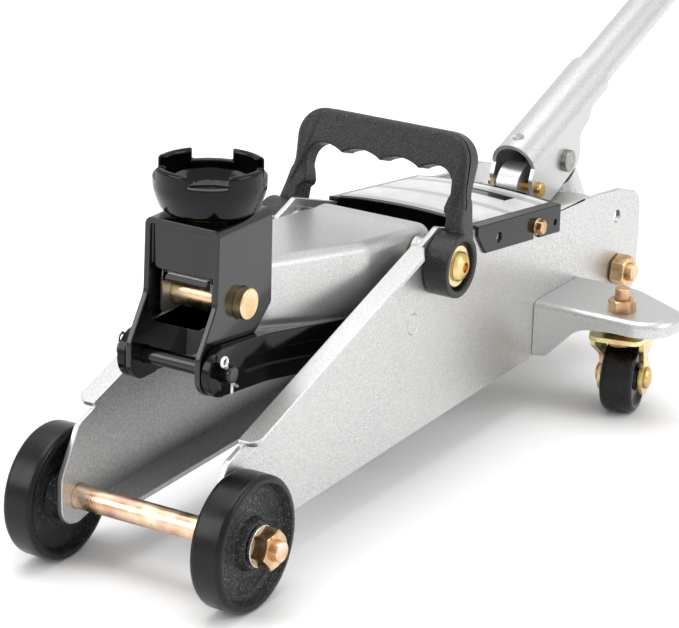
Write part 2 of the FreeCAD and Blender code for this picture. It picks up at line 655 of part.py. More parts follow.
def cotter_pin():
    """Left cotter pin: two legs through the tie bar, an eye above and spread ends below."""
    y = TIE_FRONT_IN + TIE_T + COTTER_OUT
    x = TIE_BAR[0]
    z = TIE_BAR[1]
    reach = TIE_BAR_R + 2.5
    shank = Part.makeCylinder(COTTER_R, reach * 2, v(x, y, z - reach), v(0, 0, 1))
    eye = Part.makeTorus(2.2, 0.8, v(x, y, z + reach + 1.2), v(0, 1, 0))
    leg_a = Part.makeCylinder(0.75, 5, v(x, y, z - reach + 0.5), v(0.55, 0, -1).normalize())
    leg_b = Part.makeCylinder(0.75, 5, v(x, y, z - reach + 0.5), v(-0.55, 0.1, -1).normalize())
    pin = shank.fuse([eye, leg_a, leg_b])
    pin.rotate(v(x, y, z), v(0, 1, 0), COTTER_TILT_DEG)
    return pin


# ---------------------------------------------------------------- saddle
def saddle_bracket():
    """Saddle bracket: folded plate with two cheeks, a top and a front tab."""
    def cheek(low, high):
        return slab([(BRACKET_FRONT_X, BRACKET_TOP_Z), (BRACKET_FRONT_X + 1.5, PIN[1] + 3, 10),
                     (TIE_BAR[0] + CHEEK_EYE_R, TIE_BAR[1] + 8, 8), (TIE_BAR[0] + CHEEK_EYE_R, TIE_BAR[1] - CHEEK_EYE_R, 11),
                     (TIE_BAR[0] - CHEEK_EYE_R + 1, TIE_BAR[1] - CHEEK_EYE_R, 11),
                     (BRACKET_REAR_X, PIN[1] - 7, 3), (BRACKET_REAR_X, BRACKET_TOP_Z)], low, high)
    solid = cheek(-BRACKET_OUT, BRACKET_OUT)
    solid = round_edges(solid, 4.0, lambda e: e.BoundBox.ZMin > BRACKET_TOP_Z - 0.01 and e.BoundBox.XLength > 20)
    inside = BRACKET_OUT - BRACKET_T
    room = section([(-inside, 60), (inside, 60), (inside, BRACKET_TOP_Z - BRACKET_T, 1.5),
                    (-inside, BRACKET_TOP_Z - BRACKET_T, 1.5)], BRACKET_REAR_X - 10, BRACKET_FRONT_X + 60)
    shell = solid.cut(room)
    face = BRACKET_FRONT_X - TAB_RECESS
    tab = section([(-inside - 0.5, BRACKET_TOP_Z - BRACKET_T + 0.5), (inside + 0.5, BRACKET_TOP_Z - BRACKET_T + 0.5),
                   (inside + 0.5, BRACKET_TOP_Z - TAB_DROP, 5), (-inside - 0.5, BRACKET_TOP_Z - TAB_DROP, 5)],
                  face - BRACKET_T, face)
    shell = shell.fuse(tab)
    shell = shell.cut(bar(PIN, -60, 60, BRACKET_PIN_R + RUNNING))
    shell = shell.cut(bar(TIE_BAR, -60, 60, TIE_BAR_R))
    return shell.cut(post(SADDLE_X, 0, BRACKET_TOP_Z - 10, BRACKET_TOP_Z + 10, STEM_R + RUNNING))


def saddle():
    """Saddle: a cast cup with four teeth, on a stem that turns in the bracket."""
    base = BRACKET_TOP_Z + SADDLE_GAP
    low = base + SADDLE_H - TOOTH_H
    inner = SADDLE_R - SADDLE_WALL
    cup = lathe([(0, 0), (SADDLE_BASE_R, 0), (SADDLE_BASE_R + 2.2, 1.6), (SADDLE_R - 1.2, 7), (SADDLE_R - 0.2, 10.5),
                 (SADDLE_R, 13), (SADDLE_R, SADDLE_H - 1), (SADDLE_R - 1, SADDLE_H), (inner + 1, SADDLE_H),
                 (inner, SADDLE_H - 1), (inner, 12), (inner - 3, 7.5), (inner - 6, SADDLE_FLOOR), (0, SADDLE_FLOOR)],
                v(SADDLE_X, 0, base), v(0, 0, 1))
    for i in range(4):
        notch = block(SADDLE_X, SADDLE_X + SADDLE_R + 5, -NOTCH_W / 2, NOTCH_W / 2, low, low + 40)
        notch.rotate(v(SADDLE_X, 0, 0), v(0, 0, 1), NOTCH_TURN_DEG + 90 * i)
        cup = cup.cut(notch)
    stem_low = BRACKET_TOP_Z - BRACKET_T - RETAINER_T - 2.5
    return cup.fuse(post(SADDLE_X, 0, stem_low, base + 1, STEM_R))


def saddle_washer():
    disc = post(SADDLE_X, 0, BRACKET_TOP_Z, BRACKET_TOP_Z + SADDLE_GAP - 0.3, 14)
    return disc.cut(post(SADDLE_X, 0, BRACKET_TOP_Z - 1, BRACKET_TOP_Z + 5, STEM_R + RUNNING))


def saddle_retainer():
    top = BRACKET_TOP_Z - BRACKET_T - 0.4
    ring = post(SADDLE_X, 0, top - RETAINER_T, top, STEM_R + 3.5)
    return ring.cut(post(SADDLE_X, 0, top - 5, top + 5, STEM_R))


# ---------------------------------------------------------------- carry handle
def carry_handle():
    """Carry handle: moulded loop with a scalloped grip and a round boss at each end."""
    def place(y, u, w=0.0):
        return v(PIVOT[0] + w, y, PIVOT[1] + u)
    half = CARRY_HALF
    leg = CARRY_LEG_W
    rise = CARRY_RISE
    depth = CARRY_DEPTH
    back = -CARRY_SETBACK - depth / 2
    loop = outline([(-half - 2, 6), (-half, rise, 15), (half, rise, 15), (half + 2, 6)],
                   lambda y, u: place(y, u, back)).extrude(v(depth, 0, 0))
    hole = outline([(-half + leg - 1, -8), (-half + leg, rise - CARRY_GRIP_H, 6), (half - leg, rise - CARRY_GRIP_H, 6),
                    (half - leg + 1, -8)], lambda y, u: place(y, u, back - 1)).extrude(v(depth + 2, 0, 0))
    loop = loop.cut(hole)
    for i in (-1, 0, 1):
        y = i * CUSP_PITCH
        top = rise - CARRY_GRIP_H + 0.5
        cusp = outline([(y - 7, top), (y, top - CUSP_H - 0.5, 1.2), (y + 7, top)],
                       lambda p, u: place(p, u, back)).extrude(v(depth, 0, 0))
        loop = loop.fuse(cusp)
    loop = round_edges(loop, 3.2, lambda e: e.BoundBox.XLength < 0.01 and e.BoundBox.ZMax > PIVOT[1] + rise - 16
                       and e.BoundBox.ZMin > PIVOT[1] + 8 and e.Length > 10
                       and (e.BoundBox.ZMax > PIVOT[1] + rise - 1 or abs(e.BoundBox.YMax) > half - 16))
    inner_y = PLATE_OUT + SIDE_PLAY
    for side in (-1, 1):
        low = min(side * inner_y, side * CARRY_OUT)
        high = max(side * inner_y, side * CARRY_OUT)
        loop = loop.fuse(bar(PIVOT, low, high, CARRY_BOSS_R))
        foot = outline([(side * inner_y, 0), (side * CARRY_OUT, 0), (side * CARRY_OUT, 18), (side * half, 30),
                        (side * inner_y, 24)], lambda p, u: place(p, u, back)).extrude(v(depth, 0, 0))
        loop = loop.fuse(foot)
    trim = block(PIVOT[0] - 40, PIVOT[0] + 40, -inner_y, inner_y, PIVOT[1] - 20, PIVOT[1] + 22)
    loop = loop.cut(trim)
    for side in (-1, 1):
        a = side * (CARRY_OUT - CARRY_POCKET)
        b = side * (CARRY_OUT + 1)
        loop = loop.cut(bar(PIVOT, min(a, b), max(a, b), CARRY_WASHER_R + OPEN_PLAY))
        loop = loop.cut(bar(PIVOT, min(side * 40, b), max(side * 40, b), CARRY_BOLT_R + RUNNING))
    loop.rotate(v(PIVOT[0], 0, PIVOT[1]), v(0, 1, 0), -CARRY_LEAN_DEG)
    return loop


def carry_washer():
    seat = CARRY_OUT - CARRY_POCKET + 0.2
    disc = bar(PIVOT, seat, seat + CARRY_WASHER_T, CARRY_WASHER_R)
    return disc.cut(bar(PIVOT, seat - 1, seat + 5, CARRY_BOLT_R + RUNNING))


def carry_bolt():
    """Left dome-headed bolt: passes through boss and plate into the end of the arm shaft."""
    seat = CARRY_OUT - CARRY_POCKET + 0.2 + CARRY_WASHER_T
    r = CARRY_BOLT_HEAD_R
    dome = lathe([(0, 0), (r, 0), (r, 1.2), (r * 0.86, 2.8), (r * 0.5, 4.2), (0, 4.7)],
                 v(PIVOT[0], seat, PIVOT[1]), v(0, 1, 0))
    socket = hexagon(v(PIVOT[0], seat + 2.2, PIVOT[1]), v(0, 1, 0), 5.0, 6.0)
    return dome.fuse(bar(PIVOT, PLATE_IN - 20, seat + 0.5, CARRY_BOLT_R)).cut(socket)


# ---------------------------------------------------------------- cover
def cover():
    """Cover: folded sheet over the hydraulic unit, crowned, with side and front skirts."""
    out = PLATE_OUT + COVER_T + 0.1
    rise = cover_z(COVER_FRONT_X)

    def crowned(half, top, low, extra):
        x = COVER_FRONT_X + extra
        top = top + extra * COVER_FALL
        low = low + extra * COVER_FALL
        edges = [Part.LineSegment(v(x, -half, low), v(x, half, low)).toShape(),
                 Part.LineSegment(v(x, half, low), v(x, half, top)).toShape(),
                 Part.Arc(v(x, half, top), v(x, 0, top + COVER_CROWN), v(x, -half, top)).toShape(),
                 Part.LineSegment(v(x, -half, top), v(x, -half, low)).toShape()]
        run = COVER_REAR_X - extra - x
        return Part.Face(Part.Wire(edges)).extrude(v(run, 0, run * COVER_FALL))
    outer = crowned(out, rise, rise - COVER_SKIRT, 0)
    hood = outer.cut(crowned(out - COVER_T, rise - COVER_T, rise - COVER_SKIRT - 1, 1))
    skirt = section([(-PLATE_IN + SIDE_PLAY, rise - COVER_FRONT_SKIRT), (PLATE_IN - SIDE_PLAY, rise - COVER_FRONT_SKIRT),
                     (PLATE_IN - SIDE_PLAY, rise + 10), (-PLATE_IN + SIDE_PLAY, rise + 10)],
                    COVER_FRONT_X - COVER_T, COVER_FRONT_X)
    hood = hood.fuse(skirt.common(outer))
    chamfer = slab([(COVER_FRONT_X + 1, rise - 4), (COVER_FRONT_X + 1, rise - 30), (COVER_FRONT_X - 20, rise - 30),
                    (COVER_FRONT_X - 9, rise - COVER_SKIRT - 1)], -60, 60)
    keep = block(COVER_FRONT_X - 20, COVER_FRONT_X + 2, -PLATE_IN, PLATE_IN, 0, 200)
    hood = hood.cut(chamfer.cut(keep))
    slot = block(COVER_SCREW_X - COVER_SLOT_W / 2, COVER_SCREW_X + COVER_SLOT_W / 2, -60, 60,
                 COVER_SCREW[1] - 20, COVER_SCREW[1] + 4)
    hood = hood.cut(slot)
    hole_f = (-249.0, cover_z(-249.0) - COVER_SKIRT * 0.56)
    hole_r = (-312.0, cover_z(-312.0) - COVER_SKIRT * 0.6)
    hood = hood.cut(bar(hole_f, -60, 60, 2.6))
    return hood.cut(bar(hole_r, -60, 60, 1.6))


def cover_screw():
    """Left cover screw: hexagon head with a small flange, threaded into the side plate."""
    seat = PLATE_OUT + COVER_T + 0.1
    head = hexagon(v(COVER_SCREW[0], seat + 0.8, COVER_SCREW[1]), v(0, 1, 0), COVER_SCREW_FLATS, 3.4, 8)
    flange = bar(COVER_SCREW, seat, seat + 0.8, COVER_SCREW_FLATS * 0.66)
    shank = bar(COVER_SCREW, PLATE_IN - 4, seat + 1, COVER_SCREW_R)
    return head.fuse([flange, shank])


def cover_label():
    """Blank plate on the cover, with a dark window cut near its rear."""
    front = COVER_FRONT_X - 3
    rear = COVER_REAR_X + 6
    out = PLATE_OUT + COVER_T + 0.1
    half = out - 5
    radius = (out ** 2 + COVER_CROWN ** 2) / (2 * COVER_CROWN)
    rise = cover_z(COVER_FRONT_X)
    centre_z = rise + COVER_CROWN - radius

    def skin(r):
        tube = Part.makeCylinder(r, 200, v(0, 0, 0), v(-1, 0, 0))
        return tube
    run = rear - front
    face = []
    for r in (radius, radius + LABEL_T):
        z_edge = centre_z + math.sqrt(r ** 2 - half ** 2)
        face.append((r, z_edge))
    low = Part.Arc(v(front, half, face[0][1]), v(front, 0, centre_z + face[0][0]), v(front, -half, face[0][1]))
    high = Part.Arc(v(front, half, face[1][1]), v(front, 0, centre_z + face[1][0]), v(front, -half, face[1][1]))
    edges = [low.toShape(), Part.LineSegment(v(front, -half, face[0][1]), v(front, -half, face[1][1])).toShape(),
             high.toShape(), Part.LineSegment(v(front, half, face[1][1]), v(front, half, face[0][1])).toShape()]
    sheet = Part.Face(Part.Wire(edges)).extrude(v(run, 0, run * COVER_FALL))
    sheet.translate(v(0, 0, (front - COVER_FRONT_X) * COVER_FALL))
    window = block(-300, -288, -2, 26, 90, 140)
    return sheet.cut(window)


# ---------------------------------------------------------------- hydraulic unit
def hydraulic_block():
    """Cast base block: ports, pump boss, fulcrum lug and the seat of the cylinder."""
    body = block(BLOCK_REAR_X, BLOCK_FRONT_X, -BLOCK_HALF, BLOCK_HALF, BLOCK_LOW_Z, BLOCK_TOP_Z)
    body = round_edges(body, 5.0, lambda e: e.BoundBox.XLength > 50)
    body = body.cut(slab([(BLOCK_REAR_X - 1, BLOCK_TOP_Z + 1), (BLOCK_REAR_X + 16, BLOCK_TOP_Z + 1),
                          (BLOCK_REAR_X - 1, BLOCK_TOP_Z - 16)], -60, 60))
    lug = bar(FULCRUM, -PUMP_LUG_HALF, PUMP_LUG_HALF, 13)
    foot = slab([(FULCRUM[0] + 13, FULCRUM[1]), (FULCRUM[0] - 13, FULCRUM[1]),
                 (FULCRUM[0] - 15, BLOCK_TOP_Z - 2), (FULCRUM[0] + 16, BLOCK_TOP_Z - 2)],
                -PUMP_LUG_HALF, PUMP_LUG_HALF)
    boss = Part.makeCylinder(PUMP_GLAND_R + 2, PUMP_DEPTH, PUMP_MOUTH, PUMP_DOWN)
    body = body.fuse([lug, foot, boss])
    body = body.cut(Part.makeCylinder(PLUNGER_R + RUNNING, PUMP_DEPTH - 4, PUMP_MOUTH, PUMP_DOWN))
    body = body.cut(Part.makeCylinder(PUMP_GLAND_R - 2.5, 9, PUMP_MOUTH, PUMP_DOWN))
    body = body.cut(bar(FULCRUM, -60, 60, FULCRUM_R))
    body = body.cut(bar(CROSS_BOLT, -60, 60, CROSS_BOLT_R + BOLT_PLAY))
    body = body.cut(beam(BLOCK_REAR_X - 1, BLOCK_REAR_X + 20, VALVE_Y, VALVE_Z, VALVE_R + RUNNING))
    return body.cut(beam(BLOCK_FRONT_X - 14, BLOCK_FRONT_X + 1, 0, RAM_Z, CYLINDER_R))


def ram_cylinder():
    tube = beam(BLOCK_FRONT_X - 14, RESERVOIR_FRONT_X, 0, RAM_Z, CYLINDER_R)
    return tube.cut(beam(BLOCK_FRONT_X - 8, RESERVOIR_FRONT_X + 1, 0, RAM_Z, RAM_R + PISTON_STEP))


def reservoir():
    tube = beam(BLOCK_FRONT_X, RESERVOIR_FRONT_X - 3, 0, RAM_Z, RESERVOIR_R)
    tube = tube.cut(beam(BLOCK_FRONT_X - 1, RESERVOIR_FRONT_X, 0, RAM_Z, RESERVOIR_R - RESERVOIR_T))
    return tube.cut(post(FILLER_X, 0, RAM_Z, RAM_Z + 60, 5))


def ram_gland():
    """Front nut that closes the reservoir and guides the ram."""
    x = RESERVOIR_FRONT_X - 3
    ring = beam(x, x + 3, 0, RAM_Z, RESERVOIR_R)
    ring = ring.fuse(hexagon(v(x + 3, 0, RAM_Z), v(1, 0, 0), GLAND_R * 1.6, GLAND_T - 3))
    ring = ring.cut(beam(x - 1, x + 3, 0, RAM_Z, CYLINDER_R))
    return ring.cut(beam(x - 1, x + 20, 0, RAM_Z, RAM_R + RUNNING))


def ram():
    """Ram rod with its flat head, just clear of the roller."""
    face = LUG[0] - ROLLER_R - RAM_GAP
    tail = BLOCK_FRONT_X + RAM_TAIL
    rod = beam(tail, face - RAM_HEAD_T + 1, 0, RAM_Z, RAM_R)
    head = beam(face - RAM_HEAD_T, face, 0, RAM_Z, RAM_HEAD_R)
    head = round_edges(head, 1.2, lambda e: len(e.Vertexes) == 1)
    piston = beam(tail - PISTON_L, tail, 0, RAM_Z, RAM_R + PISTON_STEP - RUNNING)
    groove = beam(tail - PISTON_L * 0.6, tail - PISTON_L * 0.35, 0, RAM_Z, RAM_R + PISTON_STEP + 1)
    groove = groove.cut(beam(tail - PISTON_L, tail, 0, RAM_Z, RAM_R))
    return rod.fuse([head, piston]).cut(groove)


def filler_plug():
    plug = post(FILLER_X, 0, RAM_Z + RESERVOIR_R - 6, RAM_Z + RESERVOIR_R + 0.5, 5)
    cap = post(FILLER_X, 0, RAM_Z + RESERVOIR_R + 0.5, RAM_Z + RESERVOIR_R + 3.5, 8)
    return plug.fuse(round_edges(cap, 1.0, lambda e: e.BoundBox.ZMin > RAM_Z + RESERVOIR_R + 3))


def release_valve():
    """Release valve spindle, slotted across its tail for a cross pin."""
    spindle = beam(BLOCK_REAR_X - VALVE_OUT, BLOCK_REAR_X + 18, VALVE_Y, VALVE_Z, VALVE_R)
    collar = beam(BLOCK_REAR_X - 5, BLOCK_REAR_X - SIDE_PLAY, VALVE_Y, VALVE_Z, VALVE_R + 2.5)
    spindle = spindle.fuse(collar)
    x = BLOCK_REAR_X - VALVE_OUT + 5
    return spindle.cut(Part.makeCylinder(VALVE_PIN_R, 30, v(x, VALVE_Y - 15, VALVE_Z), v(0, 1, 0)))


def valve_pin():
    x = BLOCK_REAR_X - VALVE_OUT + 5
    return Part.makeCylinder(VALVE_PIN_R, 18, v(x, VALVE_Y - 9, VALVE_Z), v(0, 1, 0))


# ---------------------------------------------------------------- pump and handle
def pump_axis():
    """Mouth of the pump bore and the way down it: square to the socket arm at mid swing."""
    dx = PLUNGER_PIN[0] - FULCRUM[0]
    dz = PLUNGER_PIN[1] - FULCRUM[1]
    middle = turned(PLUNGER_PIN, FULCRUM, -PUMP_SWING_DEG / 2)
    arm = math.hypot(dx, dz)
    rearward = ((middle[0] - FULCRUM[0]) / arm, (middle[1] - FULCRUM[1]) / arm)
    up = v(rearward[1], 0, -rearward[0])
    bow = arm * (1 - math.cos(math.radians(PUMP_SWING_DEG / 2))) / 2
    on_axis = v(middle[0] - rearward[0] * bow, 0, middle[1] - rearward[1] * bow)
    half_stroke = arm * math.sin(math.radians(PUMP_SWING_DEG / 2))
    mouth = on_axis - up * (half_stroke + PLUNGER_EYE_R + 4)
    return mouth, up * -1, on_axis - up * half_stroke, up


PUMP_MOUTH, PUMP_DOWN, PLUNGER_REST, PUMP_UP = pump_axis()


def pump_gland():
    ring = Part.makeCylinder(PUMP_GLAND_R - 2.5, 8, PUMP_MOUTH, PUMP_DOWN)
    top = hexagon(PUMP_MOUTH, PUMP_UP, (SOCKET_R - SOCKET_T - SLIDING) * math.sqrt(3), 3.0)
    ring = ring.fuse(top)
    return ring.cut(Part.makeCylinder(PLUNGER_R + RUNNING, 30, PUMP_MOUTH + PUMP_UP * 10, PUMP_DOWN))


def plunger():
    """Pump plunger with a slotted eye, so that the pin can swing while the plunger slides straight."""
    length = (PLUNGER_REST - PUMP_MOUTH).Length + PUMP_DEPTH - 8
    rod = Part.makeCylinder(PLUNGER_R, length, PLUNGER_REST, PUMP_DOWN)
    eye = Part.makeCylinder(PLUNGER_EYE_R, 11, v(PLUNGER_REST.x, -5.5, PLUNGER_REST.z), v(0, 1, 0))
    across = PUMP_UP.cross(v(0, 1, 0)).normalize()
    bow = math.hypot(PLUNGER_PIN[0] - FULCRUM[0], PLUNGER_PIN[1] - FULCRUM[1])
    bow = bow * (1 - math.cos(math.radians(PUMP_SWING_DEG / 2))) / 2 + 0.2
    wide = PLUNGER_PIN_R + 0.45
    slot = Part.makeCylinder(wide, 30, PLUNGER_REST + across * bow - v(0, 15, 0), v(0, 1, 0))
    slot = slot.fuse(Part.makeCylinder(wide, 30, PLUNGER_REST - across * bow - v(0, 15, 0), v(0, 1, 0)))
    corners = [PLUNGER_REST + across * a + PUMP_UP * b - v(0, 15, 0)
               for a, b in ((bow, wide), (bow, -wide), (-bow, -wide), (-bow, wide), (bow, wide))]
    slot = slot.fuse(Part.Face(Part.makePolygon(corners)).extrude(v(0, 30, 0)))
    return rod.fuse(eye).cut(slot)


def along(s, n, y=0.0):
    """A point s along the handle's axis, n above it."""
    base = v(SOCKET_AXIS[0], y, SOCKET_AXIS[1])
    return base + SOCKET_DIR * s + SOCKET_UP * n


def socket_local(point):
    rel = v(point[0] - SOCKET_AXIS[0], 0, point[1] - SOCKET_AXIS[1])
    return (rel.dot(SOCKET_DIR), rel.dot(SOCKET_UP))


def handle_socket():
    """Handle socket: tube at the top, opening below into two deep cheeks that carry both pins."""
    r = SOCKET_R
    bore = SOCKET_R - SOCKET_T
    tube = Part.makeCylinder(r, SOCKET_HIGH - SOCKET_LOW, along(SOCKET_LOW, 0), SOCKET_DIR)
    ful = socket_local(FULCRUM)
    plu = socket_local(PLUNGER_PIN)
    low = min(ful[1], plu[1]) - 12.5
    cheek = outline([(SOCKET_LOW, 0), (-14, 0), (-22, -r + 4, 8), (-34, -r + 1, 6), (plu[0] + 15, low + 2, 9),
                     (SOCKET_LOW + 12, low, 14), (SOCKET_LOW - 6, low + 7, 9), (SOCKET_LOW - 5, ful[1] + 8, 5)],
                    lambda s, n: along(s, n, -r)).extrude(v(0, 2 * r, 0))
    body = tube.fuse(cheek)
    room = outline([(SOCKET_LOW - 20, 0), (-34, 0), (-34, low - 20), (SOCKET_LOW - 20, low - 20)],
                   lambda s, n: along(s, n, -bore)).extrude(v(0, 2 * bore, 0))
    body = body.cut(Part.makeCylinder(bore, 200, along(SOCKET_LOW - 20, 0), SOCKET_DIR))
    body = body.cut(room)
    body = body.cut(bar(FULCRUM, -60, 60, FULCRUM_R + RUNNING))
    body = body.cut(bar(PLUNGER_PIN, -60, 60, PLUNGER_PIN_R))
    stop_s = SOCKET_HIGH - HANDLE_IN - STOP_R
    for side in (-1, 1):
        body = body.fuse(Part.makeCylinder(STOP_R, SOCKET_T + STOP_DEPTH, along(stop_s, 0, side * (r - 0.2)),
                                           v(0, -side, 0)))
    dimple = Part.makeCone(4.2, 2.4, 4.5, along(SOCKET_LOW + 9, r - 0.4), SOCKET_UP * -1)
    hollow = Part.makeCone(3.4, 1.4, 4.4, along(SOCKET_LOW + 9, r + 0.1), SOCKET_UP * -1)
    return body.fuse(dimple).cut(hollow)


def fulcrum_pin():
    half = SOCKET_R + 3
    return round_edges(bar(FULCRUM, -half, half, FULCRUM_R), 0.7, lambda e: len(e.Vertexes) == 1)


def plunger_pin():
    half = SOCKET_R + 3.2
    pin = bar(PLUNGER_PIN, -half, half, PLUNGER_PIN_R)
    head = bar(PLUNGER_PIN, SOCKET_R, half, PLUNGER_PIN_R + 1.2)
    return round_edges(pin.fuse(head), 0.6, lambda e: len(e.Vertexes) == 1 and e.BoundBox.YMin > half - 0.1)


def screw_hole():
    """Hole through the top of both handle tubes for the joint screw."""
    return Part.makeCylinder(SCREW_R, SOCKET_R, along(SOCKET_HIGH + HANDLE_LOW - SCREW_BACK, 1), SOCKET_UP)


def handle_tube():
    """Lower handle tube, resting on the socket's stop."""
    r = SOCKET_R - SOCKET_T - SLIDING
    start = along(SOCKET_HIGH - HANDLE_IN, 0)
    tube = Part.makeCylinder(r, HANDLE_IN + HANDLE_LOW, start, SOCKET_DIR)
    tube = tube.cut(Part.makeCylinder(r - HANDLE_WALL, HANDLE_IN + HANDLE_LOW + 2, start - SOCKET_DIR, SOCKET_DIR))
    return tube.cut(screw_hole())


def handle_extension():
    """Upper handle tube: its reduced end plugs into the lower tube."""
    r = SOCKET_R - SOCKET_T - SLIDING
    joint = SOCKET_HIGH + HANDLE_LOW
    plug_r = r - HANDLE_WALL - SLIDING
    plug = Part.makeCylinder(plug_r, JOINT_LAP + 2, along(joint - JOINT_LAP, 0), SOCKET_DIR)
    tube = Part.makeCylinder(r, HANDLE_HIGH, along(joint + 0.2, 0), SOCKET_DIR)
    body = plug.fuse(tube)
    body = body.cut(Part.makeCylinder(plug_r - HANDLE_WALL, HANDLE_HIGH + JOINT_LAP + 5,
                                      along(joint - JOINT_LAP - 1, 0), SOCKET_DIR))
    return body.cut(screw_hole())


def handle_grip():
    r = SOCKET_R - SOCKET_T - SLIDING
    end = SOCKET_HIGH + HANDLE_LOW + 0.2 + HANDLE_HIGH
    low = end - GRIP_L + 3
    shell = Part.makeCylinder(r + GRIP_T, GRIP_L, along(low, 0), SOCKET_DIR)
    shell = round_edges(shell, 2.0, lambda e: len(e.Vertexes) == 1)
    return shell.cut(Part.makeCylinder(r, GRIP_L - 3, along(low, 0), SOCKET_DIR))


def handle_screw():
    """Button screw that holds the two handle tubes together."""
    r = SOCKET_R - SOCKET_T - SLIDING
    place = SOCKET_HIGH + HANDLE_LOW - SCREW_BACK
    shank = Part.makeCylinder(SCREW_R, HANDLE_WALL * 2 + 2, along(place, r - HANDLE_WALL * 2 - 1), SOCKET_UP)
    head = lathe([(0, 0.02), (4.5, 0.02), (4.5, 0.8), (3.2, 2.2), (0, 2.7)], along(place, r), SOCKET_UP)
    return shank.fuse(head)


# ---------------------------------------------------------------- casters
def posed(shape, side):
    """Put a caster piece, drawn about the swivel axis, in its place on one side."""
    shape = shape.copy()
    shape.rotate(v(0, 0, 0), v(0, 0, 1), CASTER_TURN_DEG * side)
    shape.translate(v(CASTER[0], CASTER[1] * side, 0))
    return shape


def caster_fork():
    """Bent fork: a top plate and two legs that close in to the wheel and end in round eyes."""
    gap = CASTER_WHEEL_W / 2 + 0.6
    axle_z = CASTER_WHEEL_D / 2
    wide = FORK_TOP_R
    top_half = FORK_TOP_HALF
    top_z = FORK_TOP_Z
    t = FORK_T
    eye_x = -CASTER_TRAIL
    top = plan([(wide, -top_half, 6), (wide, top_half, 6), (-wide, top_half, 6), (-wide, -top_half, 6)],
               top_z - t, top_z)
    outer = section([(-top_half, top_z, 3), (top_half, top_z, 3), (top_half, top_z - 8, 6), (gap + t, top_z - 17, 6),
                     (gap + t, 5), (-gap - t, 5), (-gap - t, top_z - 17, 6), (-top_half, top_z - 8, 6)], -40, 40)
    inner = section([(t - top_half, top_z - t, 1), (top_half - t, top_z - t, 1), (top_half - t, top_z - 7.4, 6),
                     (gap, top_z - 16.4, 6), (gap, 4), (-gap, 4), (-gap, top_z - 16.4, 6),
                     (t - top_half, top_z - 7.4, 6)], -41, 41)
    leg = slab([(7, top_z), (-wide - 1.5, top_z), (-wide - 1.5, top_z - 9, 5), (eye_x - 0.5, top_z - 16, 8),
                (eye_x - 1.5, axle_z), (eye_x + 5, axle_z), (eye_x + 7, top_z - 17, 8), (6, top_z - 8, 6)], -40, 40)
    leg = leg.fuse(bar((eye_x, axle_z), -40, 40, FORK_EYE_R))
    fork = top.fuse(leg.common(outer.cut(inner)))
    fork = fork.cut(post(0, 0, top_z - 10, top_z + 1, SWIVEL_R + RUNNING))
    return fork.cut(bar((eye_x, axle_z), -30, 30, CASTER_AXLE_R))


def caster_wheel():
    r = CASTER_WHEEL_D / 2
    w = CASTER_WHEEL_W
    bore = CASTER_AXLE_R + RUNNING
    profile = [(bore, 0), (CASTER_HUB_R, 0), (CASTER_HUB_R + 0.6, 2.4), (r - 5, 2.4), (r - 4, 0.5), (r - 2.5, 0.2),
               (r - 0.8, 1.2), (r, 3.5), (r, w - 3.5), (r - 0.8, w - 1.2), (r - 2.5, w - 0.2), (r - 4, w - 0.5),
               (r - 5, w - 2.4), (CASTER_HUB_R + 0.6, w - 2.4), (CASTER_HUB_R, w), (bore, w)]
    return lathe(profile, v(-CASTER_TRAIL, -w / 2, r), v(0, 1, 0))


def caster_axle():
    """Riveted axle with a domed head outside each leg."""
    gap = CASTER_WHEEL_W / 2 + 0.6 + FORK_T
    z = CASTER_WHEEL_D / 2
    shank = bar((-CASTER_TRAIL, z), -gap - 0.5, gap + 0.5, CASTER_AXLE_R)
    dome = [(0, 0.05), (AXLE_HEAD_R, 0.05), (AXLE_HEAD_R, 0.8), (AXLE_HEAD_R * 0.86, 1.9), (AXLE_HEAD_R * 0.5, AXLE_HEAD_T - 0.3),
            (0, AXLE_HEAD_T)]
    heads = [lathe(dome, v(-CASTER_TRAIL, side * gap, z), v(0, side, 0)) for side in (1, -1)]
    return shank.fuse(heads)


def caster_race():
    """Ball race between the fork and the bracket."""
    high = WING_TOP_Z - WING_T
    low = FORK_TOP_Z + 0.3
    ring = lathe([(SWIVEL_R + BOLT_PLAY, low), (RACE_R - 2, low), (RACE_R, low + 2), (RACE_R, high - 2),
                  (RACE_R + 0.8, high), (SWIVEL_R + BOLT_PLAY, high)], v(0, 0, 0), v(0, 0, 1))
    return ring


def caster_bolt():
    head_top = FORK_TOP_Z - FORK_T - 0.3
    head = hexagon(v(0, 0, head_top), v(0, 0, -1), M8_FLATS, 4.6)
    tip = WING_TOP_Z + M8_NUT_H + 6
    shank = post(0, 0, head_top, tip, SWIVEL_R)
    return head.fuse(round_edges(shank, 0.8, lambda e: e.BoundBox.ZMin > tip - 0.1))


def caster_nut():
    nut = hexagon(v(0, 0, WING_TOP_Z), v(0, 0, 1), M8_FLATS, M8_NUT_H, 17)
    return nut.cut(post(0, 0, WING_TOP_Z - 1, WING_TOP_Z + 20, SWIVEL_R))


